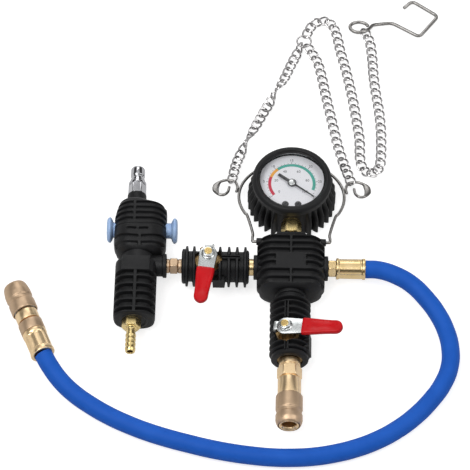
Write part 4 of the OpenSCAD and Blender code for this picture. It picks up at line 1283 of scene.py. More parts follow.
def bored(outer: Shell, tool: Shell, name: str) -> bpy.types.Mesh:
    """Cuts one shell out of another.

    Args:
        outer: The shell that is cut.
        tool: The shell that is taken away.
        name: Name of the new mesh.

    Returns:
        The mesh that is left.
    """
    work = bpy.data.objects.new(name, outer.mesh(name))
    cutter = bpy.data.objects.new("cutter", tool.mesh("cutter"))
    for made in (work, cutter):
        bpy.context.scene.collection.objects.link(made)
    cut = work.modifiers.new("window", "BOOLEAN")
    cut.operation = "DIFFERENCE"
    cut.object = cutter
    cut.solver = "EXACT"
    ready = work.evaluated_get(bpy.context.evaluated_depsgraph_get())
    left = bpy.data.meshes.new_from_object(ready)
    for scratch in (work.data, cutter.data):
        bpy.data.meshes.remove(scratch)
    left.name = name
    return left


@dataclass
class BallValve:
    """A ball valve: its ribbed boot, and the lever, grip and nut that turn with its stem."""

    name: str
    seat: Seat
    ribs: tuple[float, ...]
    # Start, stop and radius of each
    blocks: tuple[Span, ...]
    pad: Flat
    soft: float = 0.45
    start: float = -23.5
    stop: float = 36.0
    core: float = 13.6
    tip: float = 18.0
    rib: float = 2.5
    bore: float = 11.2
    window: float = 12.0
    slits: tuple[Flat, ...] = ((12.0, 28.0),)
    slit_half: float = 0.045
    slit_depth: float = 3.4
    lip_half: float = 0.11
    lip_depth: float = 0.5
    lever_turn: float = 83.0
    lever_low: float = 20.0
    lever_high: float = 22.0
    tab: Flat = (15.5, 21.8)
    grip: Flat = (14.5, 50.5)
    grip_width: Flat = (16.0, 12.6)
    grip_thick: float = 5.2
    hollow: float = 0.75

    def lever_seat(self) -> Seat:
        """Gives the lever's place, as it is drawn."""
        return self.seat.turned(self.lever_turn)

    def radius(self, s: float, plain: float, turn: float) -> float:
        """Gives the boot's radius.

        Args:
            s: Distance along the boot.
            plain: Radius where the boot is plain, or 0 where it has ribs.
            turn: Angle in radians from its left.

        Returns:
            The radius.
        """
        if plain:
            return plain
        made = self.core
        for rib in self.ribs:
            made += (self.tip - self.core) * plateau(s, rib - self.rib / 2, rib + self.rib / 2, self.soft)
        for low, high, size in self.blocks:
            made = max(made, self.core + (size - self.core) * plateau(s, low, high, 0.3))
        made = min(made, self.tip)
        low, high = self.pad
        if math.cos(turn) < 0 and abs(math.tan(turn)) < 0.4:
            flat = min(self.tip / -math.cos(turn), self.tip + 1.2)
            made += (max(made, flat) - made) * plateau(s, low, high, 0.4)
        aside = abs(turn - math.pi / 2)
        if aside < self.lip_half and any(low < s < high for low, high in self.slits):
            made = self.tip - (self.slit_depth if aside < self.slit_half else self.lip_depth)
        inside = min(s - self.start, self.stop - s)
        return made - 1.3 * (1 - smooth_step(0.0, 1.2, inside))

    def build(self) -> None:
        """Makes the boot, lever, grip and nut."""
        self.boot()
        self.lever()
        self.handle()
        self.nut()

    def boot(self) -> None:
        """Makes the ribbed boot with the window for the lever."""
        edges = [rib + side * self.rib / 2 for rib in self.ribs for side in (-1, 1)]
        edges += [edge for low, high, _ in self.blocks for edge in (low, high)]
        edges += list(self.pad)
        wanted = [edge + self.soft * share for edge in edges for share in (-1.0, -0.6, -0.2, 0.2, 0.6, 1.0)]
        for d in (0.15, 0.4, 0.8, 1.2):
            wanted += [self.start + d, self.stop - d]
        wanted += [end + d for slit in self.slits for end in slit for d in (-0.15, 0.15)]
        rows = [(s, 0.0) for s in spaced(wanted, self.start, self.stop, 0.1)]
        rows += [(self.stop, self.bore), (self.start, self.bore)]
        steps = [edge + d for edge in (self.slit_half, self.lip_half) for d in (-0.002, 0.002)]
        turns = [turn + 0.001 for turn in even_turns(96)]
        turns += [math.pi / 2 + side * d for side in (-1, 1) for d in steps]
        shell = Shell()
        lathe(shell, self.seat, rows, sorted(turns), Ends.LOOPED, self.radius)
        tool = Shell()
        upright = Seat(self.seat.origin, self.seat.up, self.seat.along)
        lathe(tool, upright, [(4.0, self.window), (40.0, self.window)], 72)
        name = f"ribbed_{self.name}_boot"
        made = bpy.data.objects.new(name, bored(shell, tool, name))
        Piece(name, RUBBER, "black_rubber", (f"{self.name}_valve_boot",)).dress(made)

    def moving(self, part: str, finish: Finish, slot: str, nodes: tuple[str, ...] = ()) -> Piece:
        """Describes a piece that turns with the lever.

        Args:
            part: What it is.
            finish: Its finish.
            slot: Its material slot.
            nodes: The node that it stands for, without the valve's name.

        Returns:
            The piece.
        """
        named = tuple(f"{self.name}_{node}" for node in nodes)
        return Piece(f"{self.name}_{part}", finish, slot, named, f"{self.name}_lever_turn")

    def lever(self) -> None:
        """Makes the plated lever with its bent stop tab."""
        shell = Shell()
        lie = self.lever_seat()
        near = -self.grip[0] - 0.4
        tang = [(near, 7.0), (near - 0.6, 5.5), (-45.5, 5.5)]
        edge = arc(8.0, -104, 104, 28) + tang + [(s, -a) for s, a in reversed(tang)]
        plate(shell, lie, edge, self.lever_low, self.lever_high, 0.3)
        for start, low, high in ((6.0, self.lever_low, self.lever_high), (8.5, *self.tab)):
            plate(shell, lie, [(start, -4.0), (10.5, -4.0), (10.5, 4.0), (start, 4.0)], low, high, 0.3)
        self.moving("lever_plate", ZINC, "zinc_plate", ("lever",)).lay(shell)

    def grip_section(self, s: float) -> Outline:
        """Gives the grip's outline.

        Args:
            s: Distance from the stem.

        Returns:
            The outline, anticlockwise.
        """
        first, last = self.grip
        wide, narrow = (w / 2 for w in self.grip_width)
        half = wide + (narrow - wide) * smooth_step(first, last - 8, s)
        centre = last - narrow
        if s > centre:
            half = min(half, math.sqrt(max(0.6, narrow ** 2 - (s - centre) ** 2)))
        tall = self.grip_thick / 2 - 1.1 * round_drop(min(s - first, last - s) / 1.5)
        half -= 0.8 * (1 - smooth_step(0.0, 1.2, s - first))
        corner = min(1.9, tall - 0.2, half - 0.2)
        return slab_outline(-half, half, tall, corner, (0.0, 1.0, 2.2, 3.4, 4.4, 5.2))

    def scoop(self, s: float, a: float, b: float) -> float:
        """Gives the depth of the finger hollow on the grip.

        Args:
            s: Distance from the stem.
            a: Place across the grip.
            b: Height above its middle.

        Returns:
            The depth.
        """
        half = max(a for a, _ in self.grip_section(s)) - 2.4
        if b < 0 or abs(a) >= half or half <= 0:
            return 0.0
        along = plateau(s, self.grip[0] + 7.0, self.grip[1] - 9.0, 4.0)
        return self.hollow * along * (1 - (a / half) ** 2)

    def handle(self) -> None:
        """Makes the dipped grip."""
        shell = Shell()
        lie = self.lever_seat()
        middle = (self.lever_low + self.lever_high) / 2
        along = tuple(-Vector(lie.along))
        seat = Seat(tuple(lie.at(0.0, 0.0, middle)), along, lie.up)
        first, last = self.grip
        stations = [first + d for d in (0.0, 0.1, 0.35, 0.7, 1.2, 1.8)]
        stations += [first + 3 + 1.5 * i for i in range(20)]
        stations += [last - d for d in (3.4, 2.6, 1.8, 1.2, 0.7, 0.35, 0.1, 0.0)]
        ribbed(shell, seat, sorted(stations), self.grip_section, self.scoop)
        self.moving("lever_grip", VINYL, "red_vinyl", ("grip",)).lay(shell)

    def nut(self) -> None:
        """Makes the flanged nut and the stem's end above it."""
        shell = Shell()
        lie = self.lever_seat()
        upright = Seat(lie.origin, lie.up, lie.along)
        top = self.lever_high
        flange = [(top, 3.2), (top, 6.2), (top + 0.7, 6.2), (top + 1.5, 5.0), (top + 1.5, 3.2)]
        lathe(shell, upright, eased(flange, 0.25, 3, True), 48, Ends.LOOPED)
        hex_bar(shell, upright, 9.6, top + 0.9, top + 4.0)
        end = Shell()
        stud = [(top + 3.5, 1.0), (top + 3.5, 3.5), (top + 4.9, 3.5), (top + 4.9, 0.2)]
        lathe(end, upright, eased(stud, 0.4), 40)
        self.moving("stem_end", TURNED_BRASS_Y, "yellow_brass").lay(end)
        self.moving("flanged_nut", ZINC, "zinc_plate", ("lever_nut",)).lay(shell)


# Fittings and couplers


@dataclass
class Fittings:
    """The nipples, adapter and crimped ferrule at the manifold."""

    # Start, stop and radius, or width across the flats
    vacuum_collar: Span = (-38.6, -31.4, 7.5)
    fill_collar: Span = (-38.2, -30.8, 7.5)
    adapter: Span = (33.1, 40.0, 14.2)
    ferrule: Span = (40.0, 66.0, 9.5)
    press: float = 0.16
    presses: int = 10

    def build(self) -> None:
        """Makes the four fittings."""
        self.nipple("vacuum", CROSS, self.vacuum_collar, TURNED_BRASS_X)
        self.nipple("fill", PIPE, self.fill_collar, TURNED_BRASS_Y)
        start, stop, flats = self.adapter
        hexagon = Shell()
        hex_bar(hexagon, CROSS, flats, start, stop)
        rod(hexagon, CROSS, 22.0, 34.0, (4.0, 6.4))
        rod(hexagon, CROSS, 39.0, 64.0, (4.0, 5.4))
        Piece("hose_adapter_hex", TURNED_BRASS_X, "yellow_brass", ("hose_adapter",)).lay(hexagon)
        self.crimp()

    def nipple(self, name: str, seat: Seat, collar: Span, finish: Finish) -> None:
        """Makes a nipple with the collar that shows between two boots.

        Args:
            name: The valve that it joins to the manifold.
            seat: Its axis.
            collar: Start, stop and radius of the collar.
            finish: Its brass.
        """
        start, stop, radius = collar
        shell = Shell()
        profile = [
            (start - 9.6, 4.0), (start - 9.6, 6.4), (start - 0.2, 6.4), (start, radius), (stop, radius),
            (stop + 0.2, 6.4), (stop + 9.6, 6.4), (stop + 9.6, 4.0),
        ]
        lathe(shell, seat, eased(profile, 0.35), 48)
        Piece(f"{name}_nipple_collar", finish, "yellow_brass", (f"{name}_nipple",)).lay(shell)

    def crimp(self) -> None:
        """Makes the ferrule, rolled out at both ends and pressed in lightly between."""
        start, stop, rim = self.ferrule
        profile = [
            (start, 5.6), (start, rim - 0.5), (start + 0.5, rim), (start + 2.2, rim),
            (start + 3.0, rim - 0.8), (start + 4.5, rim - 0.7), (stop - 5.0, rim - 0.5),
            (stop - 3.4, rim - 0.7), (stop - 2.6, rim), (stop - 0.6, rim + 0.1), (stop, rim - 0.4),
            (stop, 8.1), (stop - 6, 8.05), (stop - 6, 5.6),
        ]

        def pressed(s: float, r: float, turn: float) -> float:
            """Presses the outside in at even places."""
            press = self.press * plateau(s, start + 5, stop - 5, 2.0) if r > 8.5 else 0.0
            return r - press * (0.5 + 0.5 * math.cos(self.presses * turn))

        shell = Shell()
        lathe(shell, CROSS, eased(profile, 0.4, 3, True), 80, Ends.LOOPED, pressed)
        Piece("crimped_ferrule", TURNED_BRASS_X, "yellow_brass", ("hose_ferrule",)).lay(shell)


@dataclass
class Coupler:
    """A quick coupler with a sliding sleeve; the seat's origin is where the sleeve begins."""

    name: str
    seat: Seat
    waist: float
    neck: float = 10.2
    barrel: float = 8.55
    socket: float = 6.2
    sleeve: float = 11.75
    length: float = 29.0
    dome: float = 4.8

    def mouth(self) -> Outline:
        """Gives the barrel's profile from the sleeve's start, out to its mouth and back down the socket.

        Returns:
            Pairs of distance along the seat and radius.
        """
        end = self.length
        return [
            (0.0, self.neck), (0.0, self.barrel), (end - 4.8, self.barrel), (end - 3.9, 8.7), (end, 8.7),
            (end, 7.5), (end - 1.8, self.socket), (9.0, self.socket), (9.0, 4.0),
        ]

    def slide(self) -> bpy.types.Object:
        """Makes the sliding sleeve with its waist.

        Returns:
            The sleeve.
        """
        full = self.sleeve
        low = full - 0.8
        end = self.length
        profile = [
            (0.0, 10.55), (0.0, full - 0.7), (0.8, full), (self.waist, full), (self.waist + 1, low),
            (self.waist + 4, low), (self.waist + 5, full), (end - self.dome, full),
            (end - self.dome * 0.57, full - 0.5), (end - self.dome * 0.22, full - 1.2), (end, full - 2.1),
            (end, 9.5), (25.0, 9.5), (25.0, 8.7), (12.0, 8.7), (12.0, 10.55),
        ]
        shell = Shell()
        lathe(shell, self.seat, eased(profile, 0.5, 4, True), 96, Ends.LOOPED)
        piece = Piece(
            f"{self.name}_coupler_sleeve", SATIN_BRASS, "satin_brass", (f"{self.name}_sleeve",),
            f"{self.name}_sleeve_slider",
        )
        return piece.lay(shell)

    def fill_body(self) -> None:
        """Makes the body that is screwed on the fill valve."""
        shell = Shell()
        back = [
            (-35.0, 4.0), (-35.0, 9.3), (-29.6, 9.3), (-29.4, 8.6), (-27.8, 8.6), (-27.6, 9.0), (-17.6, 9.0),
            (-17.2, 8.9), (-16.4, 8.9), (-16.2, self.neck),
        ]
        lathe(shell, self.seat, eased(back + self.mouth(), 0.3, 3, True), 80, Ends.LOOPED)
        hex_bar(shell, self.seat, 19.2, -28.0, -17.2)
        Piece("fill_coupler_barrel", NECK_BRASS, "satin_brass", ("fill_coupler_body",)).lay(shell)

    def far_body(self) -> bpy.types.Object:
        """Makes the body on the hose's far end.

        Returns:
            The body.
        """
        shell = Shell()
        back = [
            (-34.0, 3.2), (-34.0, 5.5), (-22.1, 5.5), (-22.0, 8.4), (-10.4, 8.4), (-10.2, self.neck),
            (-1.1, self.neck), (-0.9, 9.0), (0.0, 9.0),
        ]
        lathe(shell, self.seat, eased(back + self.mouth()[1:], 0.3, 3, True), 80, Ends.LOOPED)
        return Piece("far_coupler_barrel", NECK_BRASS, "satin_brass", ("far_coupler_body",)).lay(shell)

    def far_ring(self) -> bpy.types.Object:
        """Makes the blasted ring between the ferrule and the neck.

        Returns:
            The ring.
        """
        shell = Shell()
        ring = [(-22.0, 8.0), (-22.0, 10.9), (-11.8, 10.9), (-11.8, 8.0)]
        lathe(shell, self.seat, eased(ring, 0.5, 3, True), 80, Ends.LOOPED)
        return Piece("far_coupler_ring", SATIN_BRASS, "satin_brass").lay(shell)

    def far_ferrule(self) -> bpy.types.Object:
        """Makes the fluted ferrule on the hose's far end.

        Returns:
            The ferrule.
        """
        profile = [
            (-46.0, 8.05), (-46.0, 10.3), (-45.5, 10.8), (-43.0, 10.8), (-42.2, 10.4), (-41.2, 10.4),
            (-40.0, 10.4), (-27.4, 10.4), (-26.2, 10.4), (-25.2, 10.8), (-22.6, 10.8), (-22.1, 10.4),
            (-22.1, 5.6), (-36.0, 5.6), (-36.0, 8.05),
        ]

        def fluted(s: float, r: float, turn: float) -> float:
            """Presses fourteen flutes into the outside."""
            flute = 0.8 * plateau(s, -41.0, -26.6, 0.9) if r > 9.5 else 0.0
            return r - flute * abs(math.sin(7 * turn)) ** 0.6

        shell = Shell()
        lathe(shell, self.seat, eased(profile, 0.4, 3, True), 120, Ends.LOOPED, fluted)
        return Piece("far_fluted_ferrule", NECK_BRASS, "satin_brass", ("far_ferrule",)).lay(shell)


# Venturi and slide valve


@dataclass
class Venturi:
    """The venturi's ribbed boot with its barb, and the union that joins it to the vacuum valve."""

    place: Spot = (-139.0, 0.0, AXIS_Z)
    shift: float = 2.2
    radius: float = 18.4
    half_height: float = 15.6
    squareness: float = 3.0
    near: float = -57.2
    far: float = 0.4
    end_drop: float = 2.4
    barb_from: float = -54.0
    groove_depth: float = 3.9
    rows: tuple[Flat, ...] = (
        (-15.9, 4.0), (-23.3, 5.8), (-31.5, 5.8), (-39.6, 5.8), (-47.7, 5.8), (-53.9, 2.8),
    )
    spine: float = 1.5
    boss: float = 29.0
    pad: tuple[Flat, Flat] = ((-12.2, 12.2), (-13.7, 0.8))
    pad_rise: float = 0.4
    union: Flat = (-109.9, -96.6)

    def pipe(self) -> Seat:
        """Gives the axis of the boot, away from the barb."""
        x, y, z = self.place
        return Seat((x + self.shift, y, z), (0.0, 1.0, 0.0))

    def section(self, s: float) -> Outline:
        """Gives the boot's outline.

        Args:
            s: Distance along its axis.

        Returns:
            The outline, anticlockwise.
        """
        drawn = self.end_drop * (round_drop((s - self.near) / 3.5) + round_drop((self.far - s) / 3.0))
        edge = math.degrees(self.spine / self.radius)
        turns = {360.0 * k / 96 for k in range(96)}
        for d in (-1.4, -0.7, 0.1, 0.9, 1.8):
            turns |= {middle + side * (edge + d) for middle in (90.0, 270.0) for side in (-1, 1)}
        made = []
        for turn in sorted(turns):
            across = math.cos(math.radians(turn))
            up = math.sin(math.radians(turn))
            size = (abs(across) ** self.squareness + abs(up) ** self.squareness) ** (-1 / self.squareness)
            made.append(((self.radius - drawn) * size * across, (self.half_height - drawn) * size * up))
        return made

    def depth(self, s: float, a: float, b: float) -> float:
        """Gives the depth of the grooves.

        Args:
            s: Distance along the boot's axis.
            a: Place across the boot.
            b: Height above its axis.

        Returns:
            The depth.
        """
        share = max(groove_share(width / 2 - abs(s - middle)) for middle, width in self.rows)
        beside = smooth_step(3.5, 5.5, abs(b))
        return self.groove_depth * share * beside * smooth_step(self.spine - 0.3, self.spine + 0.5, abs(a))

    def build(self) -> None:
        """Makes the boot, the barb and the union."""
        shell = Shell()
        stations = groove_stations(self.rows, self.near, self.far, 2.0)
        stations += [self.near + d for d in (0.1, 0.3, 0.7, 1.2)] + [self.far - d for d in (0.3, 0.7)]
        ribbed(shell, self.pipe(), sorted(stations), self.section, self.depth)
        end = self.boss
        rim = [(6.0, 9.4), (end - 3.6, 9.5), (end - 3.2, 10.7), (end - 0.4, 10.7), (end, 10.2), (end, 6.0)]
        lathe(shell, Seat(self.place), eased(rim, 0.4))
        lip = [(3.0, 9.6), (-0.4, 10.0), (-0.7, 11.6), (0.2, 12.8), (3.0, 13.0)]
        lip = [(self.near + s, r) for s, r in lip]
        lathe(shell, self.pipe(), eased(lip, 0.5, 4, True), 96, Ends.LOOPED)
        (left, right), (near, far) = self.pad
        pad = [(left, near), (right, near), (right, far), (left, far)]
        plate(shell, Seat(self.pipe().origin), pad, 10.0, self.half_height + self.pad_rise, 0.4)
        neck = Seat(tuple(self.pipe().at(0.0, -1.0, 0.0)), (0.0, 1.0, 0.0))
        rod(shell, neck, -3.0, 14.0, (8.0, 14.5), 64)
        Piece("ribbed_venturi_boot", RUBBER, "black_rubber", ("venturi_boot",)).lay(shell)
        self.barb()
        self.joiner()

    def barb(self) -> None:
        """Makes the brass barb that the air leaves by."""
        x, _, z = self.place
        seat = Seat((x, self.barb_from, z), (0.0, -1.0, 0.0))
        shell = Shell()
        profile = [(0.5, 2.6), (0.5, 5.2), (11.4, 5.2), (12.4, 4.1), (17.8, 4.1)]
        for i in range(4):
            profile += [(18.0 + 4.5 * i, 4.7), (18.8 + 4.5 * i, 4.7), (21.6 + 4.5 * i, 4.1)]
        profile += [(34.6, 3.8), (35.0, 3.5), (35.0, 2.7), (34.0, 2.6)]
        lathe(shell, seat, eased(profile, 0.25, 2, True), 48, Ends.LOOPED)
        hex_bar(shell, seat, 14.6, 0.0, 11.0)
        Piece("hose_barb", TURNED_BRASS_Y, "yellow_brass", ("outlet_barb",)).lay(shell)

    def joiner(self) -> None:
        """Makes the satin union with its hexagon."""
        start, stop = self.union
        shell = Shell()
        rings = [
            (start - 9.0, 4.0), (start - 9.0, 6.0), (start - 0.1, 6.0), (start, 6.4), (start + 2.2, 6.4),
            (start + 2.8, 5.5), (stop - 3.4, 5.5), (stop - 2.8, 6.4), (stop, 6.4), (stop + 0.1, 6.0),
            (stop + 9.0, 6.0), (stop + 9.0, 4.0),
        ]
        lathe(shell, CROSS, eased(rings, 0.35), 48)
        hex_bar(shell, CROSS, 13.4, start + 3.0, stop - 3.7)
        Piece("union_hex", SATIN_BRASS, "satin_brass", ("union_nipple",)).lay(shell)


@dataclass
class SlideValve:
    """The slide valve's boot with its plug, and the two knobs on its spool."""

    place: Spot = (-139.0, 0.0, AXIS_Z)
    left: float = -18.5
    right: float = 27.8
    start: float = 7.5
    stop: float = 65.0
    half_height: float = 19.0
    corner: float = 15.0
    foot: float = 10.0
    # Length and drop of the roundings at both ends
    foot_rise: Flat = (12.0, 7.0)
    cap: Flat = (11.5, 10.0)
    groove_depth: float = 2.1
    groove: float = 2.6
    upper: tuple[float, ...] = (55.4, 49.6, 44.0, 38.2)
    lower: tuple[float, ...] = (19.6, 12.8)
    line: float = 33.0
    short: float = 27.6
    short_slots: tuple[Flat, ...] = ((-6.6, 1.4), (4.0, 12.0))
    upper_spine: float = -0.5
    lower_spine: float = 4.8
    side: float = 6.3
    bow: float = 3.4
    bow_half: float = 23.0
    bow_from: Flat = (7.0, 18.0)
    bow_to: Flat = (24.0, 36.0)
    # Distances and edges at both ends of each straight piece
    left_shoulder: tuple[Ramp, ...] = (
        (46.0, 54.0, -18.5, -17.0), (54.0, 59.5, -17.0, -15.6), (59.5, 62.4, -15.6, -13.8),
        (62.4, 64.2, -13.8, -11.4), (64.2, 65.0, -11.4, -9.2),
    )
    right_shoulder: tuple[Ramp, ...] = (
        (54.0, 56.0, 27.8, 27.4), (56.0, 57.4, 27.4, 25.6), (57.4, 60.6, 25.6, 13.8),
        (60.6, 62.6, 13.8, 12.8), (62.6, 64.2, 12.8, 11.2), (64.2, 65.0, 11.2, 9.2),
    )
    knob_y: float = 37.0
    # Side, face and inner end of each knob
    knob_places: tuple[Span, ...] = ((1.0, 32.5, 26.9), (-1.0, 20.3, 14.8))
    block_half: float = 9.5
    spool_bore: float = 6.07

    def edges(self, s: float) -> Flat:
        """Gives the edges of the boot's plan.

        Args:
            s: Distance along the boot.

        Returns:
            The left and the right edge.
        """
        drawn = self.foot * round_drop((s - self.start) / self.foot)
        made = [self.left + drawn, self.right - drawn]
        for side, ramps in enumerate((self.left_shoulder, self.right_shoulder)):
            for low, high, wide, narrow in ramps:
                if low < s <= high:
                    made[side] = wide + (narrow - wide) * (s - low) / (high - low)
        return made[0], made[1]

    def section(self, s: float) -> Outline:
        """Gives the boot's outline, whose left is the seat's right.

        Args:
            s: Distance along the boot.

        Returns:
            The outline, anticlockwise.
        """
        left, right = self.edges(s)
        tall = self.half_height - self.foot_rise[1] * round_drop((s - self.start) / self.foot_rise[0])
        tall -= self.cap[1] * round_drop((self.stop - s) / self.cap[0])
        radius = min(self.corner, tall - 0.8, (right - left) / 2 - 1.5)
        return slab_outline(-right, -left, tall, radius, [0.4 * i for i in range(20)])

    def depth(self, s: float, a: float, b: float) -> float:
        """Gives the depth of the grooves.

        Args:
            s: Distance along the boot.
            a: Place across the boot.
            b: Height above its axis.

        Returns:
            The depth.
        """
        x = -a
        share = 0.4 * groove_share(0.6 - abs(s - self.line))
        for rows, spine in ((self.upper, self.upper_spine), (self.lower, self.lower_spine)):
            for row in rows:
                cut = groove_share(self.groove / 2 - abs(s - row))
                share = max(share, cut * smooth_step(1.0, 1.8, abs(x - spine)))
        cut = groove_share(self.groove / 2 - 0.2 - abs(s - self.short))
        for low, high in self.short_slots:
            share = max(share, cut * plateau(x, low, high, 0.4) if b > 0 else 0.0)
        beside = smooth_step(self.side - 0.7, self.side + 0.7, abs(b))
        return self.groove_depth * share * beside

    def bend(self, s: float, a: float) -> float:
        """Bows the lower rows away from the barb at their ends.

        Args:
            s: Distance along the boot.
            a: Place across the boot.

        Returns:
            The distance of a point there.
        """
        off = (-a - self.lower_spine) / self.bow_half
        share = smooth_step(*self.bow_from, s) * (1 - smooth_step(*self.bow_to, s))
        return s + self.bow * off * off * share

    def build(self) -> None:
        """Makes the boot, the block in it, the plug and the knobs."""
        shell = Shell()
        pipe = Seat(self.place, (0.0, 1.0, 0.0))
        rows = [(row, self.groove) for row in (*self.upper, *self.lower)]
        rows += [(self.short, self.groove - 0.4), (self.line, 1.2)]
        stations = groove_stations(rows, self.start, self.stop, 1.8)
        stations += [self.start + d for d in (0.1, 0.3, 0.7, 1.2)]
        stations += [53.0 + 0.6 * i for i in range(21)]
        stations = spaced(stations, self.start, self.stop, 0.08)
        ribbed(shell, pipe, stations, self.section, self.depth, self.bend)
        collar = [(60.0, 6.0), (60.0, 8.6), (73.9, 8.5), (74.5, 8.1), (74.5, 6.0)]
        lathe(shell, pipe, eased(collar, 0.5))
        Piece("ribbed_slide_boot", RUBBER, "black_rubber", ("slide_valve_boot",)).lay(shell)
        self.block()
        self.plug(pipe)
        self.knobs()

    def block(self) -> None:
        """Makes the metal block inside the boot, bored for the spool."""
        outer = Shell()
        edge = [
            (-13.5, 23.0), (-5.0, 15.0), (14.0, 15.0), (22.5, 23.0), (22.5, 53.0), (12.0, 56.0), (8.0, 60.0),
            (-8.0, 60.0), (-12.0, 55.0), (-13.5, 50.0),
        ]
        plate(outer, Seat(self.place), eased(edge, 0.6, 3, True), -self.block_half, self.block_half, 0.4)
        tool = Shell()
        x, _, z = self.place
        lathe(tool, Seat((x, self.knob_y, z)), [(-30.0, self.spool_bore), (40.0, self.spool_bore)], 72)
        name = "slide_valve_block"
        made = bpy.data.objects.new(name, bored(outer, tool, name))
        Piece(name, ZINC, "turned_aluminium", ("slide_valve_body",)).dress(made)

    def plug(self, pipe: Seat) -> None:
        """Makes the polished plug that takes the air line.

        Args:
            pipe: The plug's axis.
        """
        shell = Shell()
        nose = [
            (74.7, 3.0), (74.7, 6.0), (84.6, 6.0), (84.8, 7.9), (87.4, 7.9), (88.4, 6.6), (90.6, 6.6),
            (91.4, 5.4), (93.2, 5.4), (94.6, 6.5), (101.6, 6.5), (103.2, 5.6), (103.2, 3.0),
        ]
        lathe(shell, pipe, eased(nose, 0.35, 3, True), 64, Ends.LOOPED)
        hex_bar(shell, pipe, 14.2, 74.6, 84.9)
        Piece("air_line_plug", CHROME, "chrome_plate", ("air_plug",)).lay(shell)

    def knobs(self) -> None:
        """Makes the two dished knobs on the spool's ends."""
        shell = Shell()
        x, _, z = self.place
        for way, face, inner in self.knob_places:
            seat = Seat((x, self.knob_y, z), (way, 0.0, 0.0))
            profile = [
                (inner, 3.1), (inner, 6.9), (face - 0.6, 6.9), (face + 0.5, 9.6), (face + 1.7, 11.4),
                (face + 2.6, 11.5), (face + 3.8, 11.0), (face + 4.9, 9.4), (face + 5.0, 8.2),
                (face + 4.3, 6.0), (face + 4.0, 0.4),
            ]
            lathe(shell, seat, eased(profile, 0.5), 72)
        Piece("slide_knobs", KNOB_PLASTIC, "blue_plastic", ("push_knobs",), "spool_slider").lay(shell)


# Hanger


